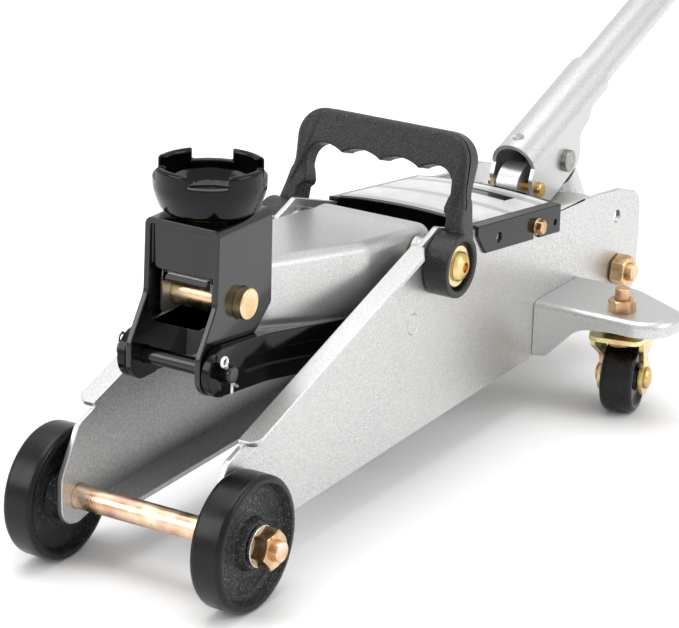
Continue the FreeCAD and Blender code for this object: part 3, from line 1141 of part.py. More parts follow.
# ---------------------------------------------------------------- return springs
def return_spring():
    """Left return spring: closed coils with a hook at each end, between the arm and the plate."""
    y = ARM_REAR_HALF + SPRING_STUD_OUT - SPRING_WIRE - 0.8
    front = v(SPRING_STUD[0], y, SPRING_STUD[1])
    rear = v(SPRING_ANCHOR[0], y, SPRING_ANCHOR[1])
    way = (rear - front).normalize()
    length = (rear - front).Length
    hook = SPRING_STUD_R + SPRING_WIRE / 2 + 0.3
    start = hook + 8
    stop = length - start
    count = int((stop - start) / (SPRING_WIRE * 2))
    ridge = (stop - start) / count
    profile = [(0, start)]
    for i in range(count):
        low = start + i * ridge
        profile.extend([(SPRING_R - 0.5, low + 0.01), (SPRING_R, low + ridge * 0.3), (SPRING_R, low + ridge * 0.7)])
    profile.extend([(SPRING_R - 0.5, start + count * ridge), (0, start + count * ridge)])
    coils = lathe(profile, front, way)
    pieces = []
    for centre, to in ((front, way), (rear, way * -1)):
        pieces.append(Part.makeTorus(hook, SPRING_WIRE / 2, centre, v(0, 1, 0)))
        pieces.append(Part.makeCylinder(SPRING_WIRE / 2, 9, centre + to * hook, to))
    return coils.fuse(pieces)


def build():
    node("left_side_plate", side_plate())
    node("right_side_plate", mirrored(side_plate()))
    node("left_caster_bracket", caster_bracket())
    node("right_caster_bracket", mirrored(caster_bracket()))
    node("front_axle", front_axle())
    node("left_front_wheel", front_wheel())
    node("right_front_wheel", mirrored(front_wheel()))
    node("axle_washers", both(axle_washer()))
    node("axle_nuts", both(axle_nut()))
    node("rear_cross_bolt", cross_bolt())
    node("rear_cross_nut", cross_nut())
    node("cross_bolt_spacers", both(cross_spacer()))
    node("lift_arm", lift_arm())
    node("lift_arm_shaft", arm_shaft())
    node("arm_shaft_spacers", both(arm_spacer()))
    node("ram_roller", ram_roller())
    node("roller_pin", roller_pin())
    node("bracket_pin", bracket_pin())
    node("left_tie_rod", tie_rod())
    node("right_tie_rod", mirrored(tie_rod()))
    node("tie_rod_rivets", both(tie_rivet()))
    node("tie_bar", tie_bar())
    node("cotter_pins", both(cotter_pin()))
    node("saddle_bracket", saddle_bracket())
    node("saddle", saddle())
    node("saddle_washer", saddle_washer())
    node("saddle_retainer", saddle_retainer())
    node("return_springs", both(return_spring()))
    node("carry_handle", carry_handle())
    node("carry_handle_washers", both(carry_washer()))
    node("carry_handle_bolts", both(carry_bolt()))
    node("cover", cover())
    node("cover_label", cover_label())
    node("cover_screws", both(cover_screw()))
    node("hydraulic_block", hydraulic_block())
    node("ram_cylinder", ram_cylinder())
    node("reservoir", reservoir())
    node("ram_gland", ram_gland())
    node("ram", ram())
    node("filler_plug", filler_plug())
    node("release_valve", release_valve())
    node("release_valve_pin", valve_pin())
    node("pump_gland", pump_gland())
    node("pump_plunger", plunger())
    node("handle_socket", handle_socket())
    node("fulcrum_pin", fulcrum_pin())
    node("plunger_pin", plunger_pin())
    node("handle_lower_tube", handle_tube())
    node("handle_upper_tube", handle_extension())
    node("handle_grip", handle_grip())
    node("handle_screw", handle_screw())
    for side, word in ((1, "left"), (-1, "right")):
        node(word + "_caster_fork", posed(caster_fork(), side))
        node(word + "_caster_wheel", posed(caster_wheel(), side))
        node(word + "_caster_axle", posed(caster_axle(), side))
    node("caster_races", [posed(caster_race(), 1), posed(caster_race(), -1)])
    node("caster_bolts", [posed(caster_bolt(), 1), posed(caster_bolt(), -1)])
    node("caster_nuts", [posed(caster_nut(), 1), posed(caster_nut(), -1)])


build()
x_low = min(s.BoundBox.XMin for solids in NODES.values() for s in solids)
x_high = max(s.BoundBox.XMax for solids in NODES.values() for s in solids)
shift = v(-(x_low + x_high) / 2, 0, 0)
for name, solids in NODES.items():
    moved = Part.makeCompound(solids) if len(solids) > 1 else solids[0]
    moved.translate(shift)
    moved.exportStep("parts/" + name + ".step")
print("nodes", len(NODES), "origin shift", round(shift.x, 3))
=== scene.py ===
"""The looks of a trolley jack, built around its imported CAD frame. Sizes are in metres."""

import json
import math

import bmesh
import bpy
from mathutils import Matrix, Vector


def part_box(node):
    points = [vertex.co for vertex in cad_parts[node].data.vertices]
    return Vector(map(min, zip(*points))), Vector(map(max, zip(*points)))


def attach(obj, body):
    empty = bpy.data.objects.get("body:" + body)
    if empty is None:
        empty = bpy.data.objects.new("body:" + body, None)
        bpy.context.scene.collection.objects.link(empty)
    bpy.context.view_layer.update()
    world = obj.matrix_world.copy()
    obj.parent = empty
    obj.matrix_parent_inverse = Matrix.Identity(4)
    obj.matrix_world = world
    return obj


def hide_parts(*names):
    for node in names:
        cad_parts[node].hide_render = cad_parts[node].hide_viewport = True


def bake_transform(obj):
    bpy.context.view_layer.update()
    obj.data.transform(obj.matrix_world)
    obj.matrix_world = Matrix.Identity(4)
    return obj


bl_info = {
    "name": "Trolley Jack Finish",
    "version": (1, 0, 0),
    "blender": (4, 5, 0),
    "location": "View3D > Sidebar > Trolley Jack",
    "description": "Paints, plates and rounds the pieces of a trolley jack around its CAD frame",
    "category": "Object",
}

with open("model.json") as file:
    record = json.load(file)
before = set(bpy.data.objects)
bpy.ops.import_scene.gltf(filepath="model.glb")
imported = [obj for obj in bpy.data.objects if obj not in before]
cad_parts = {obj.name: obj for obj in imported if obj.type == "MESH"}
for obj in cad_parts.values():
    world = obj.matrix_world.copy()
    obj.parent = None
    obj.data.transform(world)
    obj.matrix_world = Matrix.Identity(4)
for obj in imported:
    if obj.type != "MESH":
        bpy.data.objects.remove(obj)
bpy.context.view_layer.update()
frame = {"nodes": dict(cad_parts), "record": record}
MM = 0.001
WAVE_LENGTH = 0.3  # a wave texture at scale 1 repeats about every 0.3 m
BODY_OF = {node: body for body, nodes in frame["record"]["behaviour"]["bodies"].items() for node in nodes}
SLOT_OF = {part["node"]: part["material_slot"] for part in frame["record"]["subparts"]}
X, Y, Z = Vector((1, 0, 0)), Vector((0, 1, 0)), Vector((0, 0, 1))


# ---------------------------------------------------------------- colours and nodes
def linear(code):
    """An sRGB hex colour as linear red, green, blue and alpha."""
    parts = [int(code[i:i + 2], 16) / 255 for i in (0, 2, 4)]
    return tuple(p / 12.92 if p <= 0.04045 else ((p + 0.055) / 1.055) ** 2.4 for p in parts) + (1.0,)


def add_node(tree, kind, settings=None, values=None, links=None):
    """Add a node, set its properties and its sockets' values, and link its inputs to other sockets."""
    node = tree.nodes.new(kind)
    for name, value in (settings or {}).items():
        setattr(node, name, value)
    for name, value in (values or {}).items():
        node.inputs[name].default_value = value
    for name, socket in (links or {}).items():
        tree.links.new(socket, node.inputs[name])
    return node


def start_material(name, **sockets):
    """A material with one shader, its constant values set on the shader's own sockets."""
    material = bpy.data.materials.new(name)
    material.use_nodes = True
    tree = material.node_tree
    tree.nodes.clear()
    values = {key.replace("_", " "): value for key, value in sockets.items()}
    shader = add_node(tree, "ShaderNodeBsdfPrincipled", values=values)
    add_node(tree, "ShaderNodeOutputMaterial", links={"Surface": shader.outputs["BSDF"]})
    place = add_node(tree, "ShaderNodeTexCoord")
    return material, tree, shader, place.outputs["Object"]


def grain(tree, place, size, detail=2.0):
    """A noise whose features are about size metres across."""
    values = {"Scale": 1.0 / size, "Detail": detail}
    noise = add_node(tree, "ShaderNodeTexNoise", values=values, links={"Vector": place})
    return noise.outputs["Fac"]


def spread(tree, socket, low, high, to_low=0.0, to_high=1.0):
    """Stretch the part of a pattern between low and high over a new range."""
    values = {"From Min": low, "From Max": high, "To Min": to_low, "To Max": to_high}
    return add_node(tree, "ShaderNodeMapRange", values=values, links={"Value": socket}).outputs["Result"]


def mixed(tree, factor, first, second):
    """Mix two colours, each a hex code or a socket, by a pattern."""
    values, links = {}, {0: factor}
    for slot, colour in ((6, first), (7, second)):
        if isinstance(colour, str):
            values[slot] = linear(colour)
        else:
            links[slot] = colour
    return add_node(tree, "ShaderNodeMix", {"data_type": "RGBA"}, values, links).outputs[2]


def bumped(tree, shader, height, depth, strength=1.0):
    """Give the shader a relief of about depth metres."""
    values = {"Strength": strength, "Distance": depth}
    bump = add_node(tree, "ShaderNodeBump", values=values, links={"Height": height})
    tree.links.new(bump.outputs["Normal"], shader.inputs["Normal"])


def join(tree, socket, shader, name):
    """Link a pattern to one of the shader's sockets."""
    tree.links.new(socket, shader.inputs[name])


# ---------------------------------------------------------------- materials
def silver_sprayed_enamel():
    """Silver enamel sprayed on sheet steel: fine aluminium flakes sparkle where it reflects something dark.
    The flakes are drawn half a millimetre across, coarser than real ones, so that they show."""
    material, tree, shader, place = start_material("silver_sprayed_enamel", Metallic=0.86, Coat_Weight=0.2,
                                                   Coat_Roughness=0.15)
    flakes = spread(tree, grain(tree, place, 0.5 * MM, 3.0), 0.38, 0.66)
    broad = spread(tree, grain(tree, place, 70 * MM, 2.0), 0.3, 0.7)
    fine = mixed(tree, flakes, "AEAEAE", "E2E2E1")
    join(tree, mixed(tree, spread(tree, broad, 0, 1, 0.1, 0.5), fine, "CECECD"), shader, "Base Color")
    join(tree, spread(tree, flakes, 0, 1, 0.44, 0.3), shader, "Roughness")
    bumped(tree, shader, grain(tree, place, 0.6 * MM, 2.0), 0.06 * MM, 0.6)
    return material


def black_powder_coat():
    """Gloss black powder coat, baked: a shallow orange peel breaks up its reflections."""
    material, tree, shader, place = start_material("gloss_black_powder_coat", Coat_Weight=0.5,
                                                   Coat_Roughness=0.05, Specular_IOR_Level=0.3)
    cloud = grain(tree, place, 25 * MM, 3.0)
    join(tree, mixed(tree, spread(tree, cloud, 0.3, 0.7), "050505", "0A0A0A"), shader, "Base Color")
    join(tree, spread(tree, cloud, 0.3, 0.7, 0.16, 0.26), shader, "Roughness")
    bumped(tree, shader, grain(tree, place, 4.0 * MM, 1.0), 0.03 * MM, 0.4)
    return material


def shaded_black_enamel():
    """Black paint made darker and less reflective than the powder coat, as painted shade: a shaded copy of
    the black paint for parts that reflect dark surroundings. It is glossy and deep, with a slow waviness.
    """
    material, tree, shader, place = start_material("shaded_black_enamel", Coat_Weight=0.12,
                                                   Coat_Roughness=0.04, Specular_IOR_Level=0.2)
    cloud = grain(tree, place, 12 * MM, 3.0)
    # A near-black base colour, darker than the powder coat's: painted shade.
    join(tree, mixed(tree, spread(tree, cloud, 0.3, 0.7), "020202", "060606"), shader, "Base Color")
    join(tree, spread(tree, cloud, 0.3, 0.7, 0.1, 0.2), shader, "Roughness")
    bumped(tree, shader, cloud, 0.25 * MM, 0.5)
    return material


def yellow_zinc(name="yellow_zinc_plate", gold="C79A4E", pale="E2C990", rose="B9806A", turned=0.0, run="Y"):
    """Yellow zinc plate, passivated: the film's thickness drifts the colour from gold to rose.
    Where turned is given, lathe marks that far apart cross the run axis, coarse enough to show."""
    material, tree, shader, place = start_material(name, Metallic=1.0)
    drift = spread(tree, grain(tree, place, 9 * MM, 2.0), 0.35, 0.65)
    other = spread(tree, grain(tree, place, 16 * MM, 1.0), 0.5, 0.75)
    join(tree, mixed(tree, other, mixed(tree, drift, gold, pale), rose), shader, "Base Color")
    join(tree, spread(tree, drift, 0, 1, 0.22, 0.36), shader, "Roughness")
    if turned:
        lines = add_node(tree, "ShaderNodeTexWave", {"bands_direction": run},
                         {"Scale": WAVE_LENGTH / turned, "Distortion": 0.5}, {"Vector": place})
        bumped(tree, shader, lines.outputs["Fac"], 0.03 * MM, 0.35)
    else:
        bumped(tree, shader, grain(tree, place, 0.5 * MM, 2.0), 0.02 * MM, 0.4)
    return material


def ground_steel():
    """Ground bare steel under a film of oil: streaky and mid grey."""
    material, tree, shader, place = start_material("ground_oiled_steel", Metallic=1.0)
    streaks = spread(tree, grain(tree, place, 2.0 * MM, 5.0), 0.3, 0.7)
    join(tree, mixed(tree, streaks, "7E7E7C", "B4B4B0"), shader, "Base Color")
    join(tree, spread(tree, streaks, 0, 1, 0.26, 0.42), shader, "Roughness")
    bumped(tree, shader, streaks, 0.02 * MM, 0.4)
    return material


def hard_chrome():
    """Hard chrome on a ground rod: a bright mirror with the faint rings of grinding.
    The rings are drawn coarse enough to show."""
    material, tree, shader, place = start_material("hard_chrome_plate", Metallic=1.0)
    rings = add_node(tree, "ShaderNodeTexWave", {"bands_direction": "X"},
                     {"Scale": WAVE_LENGTH / (0.33 * MM)}, {"Vector": place})
    join(tree, mixed(tree, rings.outputs["Fac"], "C4C6C8", "DCDDDE"), shader, "Base Color")
    join(tree, spread(tree, rings.outputs["Fac"], 0, 1, 0.08, 0.16), shader, "Roughness")
    return material


def cast_wheel_enamel():
    """Black wrinkle enamel on a rough casting, on a dark ground: its grains are pale dots in the base colour,
    painted glints where they catch the light.
    """
    material, tree, shader, place = start_material("black_wrinkle_enamel", Specular_IOR_Level=0.45)
    grit_and_glints = grain(tree, place, 0.7 * MM, 4.0)
    # Pale grey dots on the near-black base colour: painted glints on the grains.
    join(tree, mixed(tree, spread(tree, grit_and_glints, 0.56, 0.68), "040405", "707072"), shader, "Base Color")
    join(tree, spread(tree, grit_and_glints, 0.4, 0.7, 0.4, 0.2), shader, "Roughness")
    bumped(tree, shader, grit_and_glints, 0.5 * MM, 1.0)
    return material


def tread_enamel():
    """Smooth black enamel over a machined tread: fine rings run round the wheel.
    They are drawn coarse enough to show."""
    material, tree, shader, place = start_material("black_tread_enamel", Specular_IOR_Level=0.28)
    rings = add_node(tree, "ShaderNodeTexWave", {"bands_direction": "Y"},
                     {"Scale": WAVE_LENGTH / (0.79 * MM), "Distortion": 0.4}, {"Vector": place})
    smear = spread(tree, grain(tree, place, 12 * MM, 3.0), 0.3, 0.7)
    join(tree, mixed(tree, smear, "040405", "0A0A0B"), shader, "Base Color")
    join(tree, spread(tree, smear, 0, 1, 0.22, 0.36), shader, "Roughness")
    bumped(tree, shader, rings.outputs["Fac"], 0.03 * MM, 0.3)
    return material


def grained_plastic():
    """Moulded polypropylene, black, with an etched leather grain: cells with fine valleys between."""
    material, tree, shader, place = start_material("grained_black_polypropylene", Specular_IOR_Level=0.5)
    cells = add_node(tree, "ShaderNodeTexVoronoi", {"feature": "DISTANCE_TO_EDGE"},
                     {"Scale": 1.0 / (1.1 * MM)}, {"Vector": place})
    valleys = spread(tree, cells.outputs["Distance"], 0.0, 0.22)
    # The valleys are a shade darker than the cells: painted shade in the grain's hollows.
    join(tree, mixed(tree, valleys, "060607", "0E0E0F"), shader, "Base Color")
    join(tree, spread(tree, valleys, 0, 1, 0.4, 0.24), shader, "Roughness")
    bumped(tree, shader, valleys, 0.12 * MM, 0.8)
    return material


def label_film():
    """Printed vinyl film, satin: pale grey, with plain darker bands across it."""
    material, tree, shader, place = start_material("grey_vinyl_film", Roughness=0.34, Coat_Weight=0.3,
                                                   Coat_Roughness=0.1)
    cloud = spread(tree, grain(tree, place, 14 * MM, 2.0), 0.3, 0.7)
    bands = add_node(tree, "ShaderNodeTexWave", {"bands_direction": "X", "wave_profile": "TRI"},
                     {"Scale": WAVE_LENGTH / (33.33 * MM), "Phase Offset": 0.9}, {"Vector": place})
    stripe = spread(tree, bands.outputs["Fac"], 0.72, 0.86)
    ground = mixed(tree, cloud, "B9BABA", "CDCECD")
    join(tree, mixed(tree, stripe, ground, "9A9B9B"), shader, "Base Color")
    return material


def moulded_nylon():
    """Moulded black nylon of the caster wheels: smooth and shiny, dulled in patches by the floor."""
    material, tree, shader, place = start_material("moulded_black_nylon", Specular_IOR_Level=0.3)
    wear = spread(tree, grain(tree, place, 5 * MM, 3.0), 0.35, 0.7)
    join(tree, mixed(tree, wear, "060606", "0E0E0F"), shader, "Base Color")
    join(tree, spread(tree, wear, 0, 1, 0.22, 0.36), shader, "Roughness")
    bumped(tree, shader, wear, 0.03 * MM, 0.4)
    return material


def bright_zinc():
    """Clear zinc plate on stamped washers: bright and nearly white, faintly clouded."""
    material, tree, shader, place = start_material("bright_zinc_plate", Metallic=1.0)
    cloud = spread(tree, grain(tree, place, 3 * MM, 3.0), 0.35, 0.65)
    join(tree, mixed(tree, cloud, "D8D8D2", "F2F2EE"), shader, "Base Color")
    join(tree, spread(tree, cloud, 0, 1, 0.2, 0.34), shader, "Roughness")
    return material


def moulded_rubber():
    """Moulded rubber, black and matt, greyed by handling."""
    material, tree, shader, place = start_material("moulded_black_rubber")
    dust = spread(tree, grain(tree, place, 6 * MM, 4.0), 0.4, 0.7)
    join(tree, mixed(tree, dust, "121212", "232323"), shader, "Base Color")
    join(tree, spread(tree, dust, 0, 1, 0.6, 0.78), shader, "Roughness")
    bumped(tree, shader, grain(tree, place, 0.6 * MM), 0.05 * MM, 0.5)
    return material


def floor_paper():
    """Matt white paper roll, as a studio floor."""
    material, tree, shader, place = start_material("white_paper_roll", Roughness=0.85)
    cloud = spread(tree, grain(tree, place, 300 * MM, 2.0), 0.3, 0.7)
    join(tree, mixed(tree, cloud, "F4F4F4", "F7F7F7"), shader, "Base Color")
    return material


MAKERS = {
    "silver_paint": silver_sprayed_enamel, "black_paint": black_powder_coat, "zinc": yellow_zinc,
    "steel": ground_steel, "ram_steel": hard_chrome, "wheel_iron": cast_wheel_enamel,
    "carry_plastic": grained_plastic, "label": label_film, "grip_rubber": moulded_rubber,
}
FINISH = {}


def finish_of(slot):
    """The material of a slot, made once."""
    if slot not in FINISH:
        FINISH[slot] = MAKERS[slot]()
    return FINISH[slot]


# ---------------------------------------------------------------- shaping
WELD = 0.002 * MM   # corners of CAD triangles this close are one corner
FLAT_TURN = 0.6     # triangles that turn by less, in degrees, are one flat face
RIM_STEPS = 5       # steps of a rounded rim
# The groove along the carry handle's side: each step's distance from the front face, and whether it is sunk.
GROOVE = ((3.4 * MM, 0), (3.7 * MM, 1), (4.9 * MM, 1), (5.2 * MM, 0))


def merged_copy(node):
    """A copy of a CAD node's mesh with its triangles merged into whole flat faces."""
    bm = bmesh.new()
    bm.from_mesh(frame["nodes"][node].data)
    bmesh.ops.remove_doubles(bm, verts=bm.verts, dist=WELD)
    bmesh.ops.dissolve_degenerate(bm, edges=bm.edges, dist=WELD / 2)
    bmesh.ops.dissolve_limit(bm, angle_limit=math.radians(FLAT_TURN), verts=bm.verts, edges=bm.edges)
    return bm


def round_over(bm, width, angle=28.0, segments=3, clamp=False):
    """Round every edge that turns by more than angle degrees."""
    sharp = [e for e in bm.edges if e.is_manifold and e.calc_face_angle(0.0) > math.radians(angle)]
    bmesh.ops.bevel(bm, geom=sharp, offset=width, offset_type="OFFSET", segments=segments, profile=0.5,
                    affect="EDGES", clamp_overlap=clamp, material=-1)
    return bm


def pillow(points, rounds, grooves, place, low, high):
    """Thicken a closed outline between low and high. Each of its points has a rim radius and a groove depth,
    and place turns a point and a level into a place in the jack."""
    count = len(points)
    inward = []
    for i in range(count):
        along = Vector(points[(i + 1) % count]) - Vector(points[i - 1])
        inward.append(Vector((-along.y, along.x)).normalized())
    turns = [math.pi / 2 * k / RIM_STEPS for k in range(RIM_STEPS + 1)]
    curve = [(1 - math.sin(a), 1 - math.cos(a)) for a in turns]
    rings = [(inset, 0, high, -drop) for inset, drop in curve]
    rings += [(0, sunk, high - down, 0) for down, sunk in GROOVE]
    rings += [(inset, 0, low, drop) for inset, drop in reversed(curve)]
    bm = bmesh.new()
    layers = []
    for inset, sunk, level, drop in rings:
        layer = []
        for point, way, r, g in zip(points, inward, rounds, grooves):
            at = Vector(point) + way * (inset * r + sunk * g)
            layer.append(bm.verts.new(place(at.x, at.y, level + drop * r)))
        layers.append(layer)
    for first, second in zip(layers, layers[1:]):
        for i in range(count):
            j = (i + 1) % count
            bm.faces.new((first[i], second[i], second[j], first[j]))
    bm.faces.new(layers[0])
    bm.faces.new(reversed(layers[-1]))
    bmesh.ops.recalc_face_normals(bm, faces=bm.faces)
    return bm


def wire(path, radius, sides):
    """A round wire along a path of points."""
    bm = bmesh.new()
    layers = []
    normal = (path[1] - path[0]).orthogonal().normalized()
    for i, point in enumerate(path):
        way = (path[min(i + 1, len(path) - 1)] - path[max(i - 1, 0)]).normalized()
        normal = (normal - way * normal.dot(way)).normalized()
        other = way.cross(normal)
        layers.append([bm.verts.new(point + (normal * math.cos(a) + other * math.sin(a)) * radius)
                       for a in (2 * math.pi * k / sides for k in range(sides))])
    for first, second in zip(layers, layers[1:]):
        for i in range(sides):
            j = (i + 1) % sides
            bm.faces.new((first[i], first[j], second[j], second[i]))
    bm.faces.new(reversed(layers[0]))
    bm.faces.new(layers[-1])
    bmesh.ops.recalc_face_normals(bm, faces=bm.faces)
    return bm


def gathered(*parts):
    """One mesh of several."""
    bm = bmesh.new()
    for part in parts:
        mesh = bpy.data.meshes.new("part")
        part.to_mesh(mesh)
        part.free()
        bm.from_mesh(mesh)
        bpy.data.meshes.remove(mesh)
    return bm


def arc(centre, radius, start, end, steps):
    """Points of an arc in two dimensions, angles in degrees."""
    turns = [math.radians(start + (end - start) * k / steps) for k in range(steps + 1)]
    return [(centre[0] + radius * math.cos(a), centre[1] + radius * math.sin(a)) for a in turns]


def ramp(value, start, stop):
    """How far a value is on its way from start to stop, from 0 to 1."""
    return min(max((value - start) / (stop - start), 0), 1)


def lathed(outline, centre, axis, steps):
    """Spin an outline of (radius, distance along the axis) points round an axis through centre."""
    bm = bmesh.new()
    side = axis.orthogonal().normalized()
    points = [bm.verts.new(centre + side * r + axis * d) for r, d in outline]
    for first, second in zip(points, points[1:]):
        bm.edges.new((first, second))
    bmesh.ops.spin(bm, geom=bm.verts[:] + bm.edges[:], cent=centre, axis=axis, angle=2 * math.pi, steps=steps,
                   use_merge=True)
    bmesh.ops.remove_doubles(bm, verts=bm.verts, dist=WELD / 2)
    bmesh.ops.recalc_face_normals(bm, faces=bm.faces)
    return bm


def put(bm, name, node, material=None, smooth=32.0, ride=True, second=None, where=None, slot=None):
    """Make a finished piece of a mesh: it rides with its CAD node's body and stands for that node.
    Faces whose centre passes where take the second material."""
    mesh = bpy.data.meshes.new(name)
    if where:
        for face in bm.faces:
            face.material_index = 1 if where(face.calc_center_median(), face.normal) else 0
    bm.to_mesh(mesh)
    bm.free()
    mesh.shade_smooth()
    mesh.set_sharp_from_angle(angle=math.radians(smooth))
    mesh.materials.append(material or finish_of(SLOT_OF[node]))
    if where:
        mesh.materials.append(second)
    piece = bpy.data.objects.new(name, mesh)
    bpy.context.collection.objects.link(piece)
    weighted = piece.modifiers.new("even_shading", "WEIGHTED_NORMAL")
    weighted.keep_sharp = True
    if ride:
        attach(piece, BODY_OF[node])
    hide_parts(node)
    return piece


def rounded(node, width, material=None, clamp=False, **extra):
    """Stand a copy of a CAD node, with its edges rounded, in the node's place."""
    return put(round_over(merged_copy(node), width, clamp=clamp), node + "_finished", node, material, **extra)


def repaint(*nodes):
    """Give CAD nodes that keep their own mesh the finish of their slot."""
    for node in nodes:
        target = frame["nodes"][node]
        if not target.material_slots:
            target.data.materials.append(None)
        for slot in target.material_slots:
            slot.material = finish_of(SLOT_OF[node])


def middle(node):
    """The centre of a CAD node's box."""
    low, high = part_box(node)
    return (low + high) / 2


# ---------------------------------------------------------------- settings
def length(name, description, default):
    """A length that a user can change."""
    return bpy.props.FloatProperty(name=name, description=description, default=default, unit="LENGTH")


class JackSizes(bpy.types.PropertyGroup):
    sheet_round: length("Sheet edge", "Rounding of pressed sheet edges", 0.6 * MM)
    cast_round: length("Casting edge", "Rounding of cast edges", 0.9 * MM)
    bolt_round: length("Fastener edge", "Rounding of bolts, nuts and pins", 0.3 * MM)
    tube_round: length("Tube edge", "Rounding of the handle's tubes and of the hydraulic unit", 0.3 * MM)
    fork_round: length("Fork edge", "Rounding of the caster forks and of the handle's socket", 0.35 * MM)
    caster_axle_round: length("Caster axle edge", "Rounding of the caster axles' heads", 0.2 * MM)
    caster_wheel_round: length("Caster wheel edge", "Rounding of the caster wheels", 0.5 * MM)
    grip_round: length("Grip edge", "Rounding of the rubber grip's ends", 0.6 * MM)
    film_round: length("Label edge", "Rounding of the label film's edges", 0.1 * MM)
    spring_wire: length("Spring wire", "Diameter of the return spring wire", 1.2 * MM)


class JackStage(bpy.types.PropertyGroup):
    lens: bpy.props.FloatProperty(name="Lens", description="Focal length of the camera in millimetres",
                                  default=158.87)
    floor_size: length("Floor", "Side of the square floor", 9.0)
    camera_place: bpy.props.FloatVectorProperty(
        name="Camera", description="Camera's place, from the floor under the front axle",
        default=(1.04279, 0.72446, 0.58864), unit="LENGTH")


# ---------------------------------------------------------------- pieces
ARM_SHADE_REACH = 14 * MM   # how far back the faces of the arm's open front end are painted black: painted shade inside the bracket
PIN_TIP = 0.9 * MM  # the bare tip at each end of the bracket pin
WHEEL_STEPS = 96
CUP_STEPS = 64


def sizes():
    """The sizes that a user can change."""
    return bpy.context.scene.jack_sizes


class JACK_OT_sheet(bpy.types.Operator):
    """Round and paint the pressed sheet: side plates, wings, arm, bracket, tie rods and cover"""
    bl_idname = "jack.sheet"
    bl_label = "Pressed sheet"

    def execute(self, context):
        enamel = shaded_black_enamel()
        for node in ("left_side_plate", "right_side_plate", "left_caster_bracket", "right_caster_bracket",
                     "saddle_bracket"):
            rounded(node, sizes().sheet_round)
        # The tie rods and the cover take the darker copy of the black paint: painted shade.
        for node in ("left_tie_rod", "right_tie_rod", "cover"):
            rounded(node, sizes().sheet_round, enamel)
        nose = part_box("lift_arm")[1].x
        # The silver arm's open front end takes the darker black: painted shade where it lies in shadow under
        # the bracket.
        rounded("lift_arm", sizes().sheet_round, second=enamel,
                where=lambda at, normal: at.x > nose - ARM_SHADE_REACH and abs(normal.y) < 0.5 and normal.z < 0.6)
        rounded("cover_label", sizes().film_round)
        rounded("tie_rod_rivets", sizes().bolt_round)
        return {"FINISHED"}


# The front wheel's section in millimetres, from the bore outwards: first its hub, as radius and depth under
# the wheel's side, then its dish and rim, as depth under the tread and depth under the wheel's side.
HUB = ((8.1, 0.4), (10.8, 0.4), (11.6, 1.1), (12.4, 4.6), (13.6, 5.6))
RIM = ((13.0, 5.9), (7.6, 5.9), (6.0, 5.2), (4.9, 3.8), (3.9, 0.7), (3.3, 0.0), (2.0, 0.0), (0.9, 0.5),
       (0.25, 1.4), (0.0, 2.8))
SMOOTH_RIM = 3.5 * MM  # the smooth tread reaches this far in, and the rough face starts there


class JACK_OT_front_wheels(bpy.types.Operator):
    """Spin the dished front wheels, with a smooth tread and a rough face"""
    bl_idname = "jack.front_wheels"
    bl_label = "Front wheels"

    def execute(self, context):
        tread = tread_enamel()
        for side in ("left", "right"):
            node = side + "_front_wheel"
            centre = middle(node)
            low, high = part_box(node)
            r = (high.x - low.x) / 2
            half = (high.y - low.y) / 2
            out = Y if side == "left" else -Y
            outline = [(radius * MM, half - depth * MM) for radius, depth in HUB]
            outline += [(r - under * MM, half - depth * MM) for under, depth in RIM]
            outline += [(radius, -reach) for radius, reach in reversed(outline)]
            bm = lathed(outline, centre, out, WHEEL_STEPS)
            put(bm, node + "_finished", node, smooth=40, second=tread,
                where=lambda at, normal: math.hypot(at.x - centre.x, at.z - centre.z) > r - SMOOTH_RIM)
        return {"FINISHED"}


class JACK_OT_fasteners(bpy.types.Operator):
    """Round and plate the axles, bolts, nuts, washers and pins"""
    bl_idname = "jack.fasteners"
    bl_label = "Fasteners"

    def execute(self, context):
        black = finish_of("black_paint")
        bright = bright_zinc()
        copper = yellow_zinc("copper_zinc_plate", "C39A6C", "E6CBA2", "99694E")
        thread = yellow_zinc("threaded_copper_zinc", "B98A5E", "D9B48C", "8E6248", 0.9 * MM, "Z")
        pale = yellow_zinc("pale_zinc_plate", "DCCF96", "F0E9BE", "CDB088")
        round_by = sizes().bolt_round
        for node in ("fulcrum_pin", "saddle_washer", "release_valve", "pump_gland", "carry_handle_bolts"):
            rounded(node, round_by)
        for node in ("axle_nuts", "cover_screws", "rear_cross_nut", "rear_cross_bolt", "caster_nuts"):
            rounded(node, round_by, copper)
        rounded("plunger_pin", round_by, ground_steel())
        for node in ("axle_washers", "cotter_pins", "handle_screw"):
            rounded(node, round_by, bright)
        rounded("caster_bolts", round_by, thread)
        rounded("carry_handle_washers", round_by, pale)
        rounded("tie_bar", round_by, black, slot="black_paint")
        pin_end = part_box("bracket_pin")[1].y - PIN_TIP
        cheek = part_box("saddle_bracket")[1].y
        rose = yellow_zinc("rose_zinc_plate", "DDB98C", "F0DDB4", "D8A698")
        rounded("bracket_pin", round_by, rose, second=black,
                where=lambda at, normal: cheek < abs(at.y) < pin_end and abs(normal.y) < 0.7)
        turned = yellow_zinc("turned_zinc_plate", "D8AE88", "F3DFC6", "C48C86", 0.8 * MM)
        rounded("front_axle", round_by, turned)
        return {"FINISHED"}


class JACK_OT_saddle(bpy.types.Operator):
    """Round and paint the cast saddle"""
    bl_idname = "jack.saddle"
    bl_label = "Saddle"

    def execute(self, context):
        # The saddle takes the darker copy of the black paint: painted shade.
        rounded("saddle", sizes().cast_round, shaded_black_enamel())
        return {"FINISHED"}


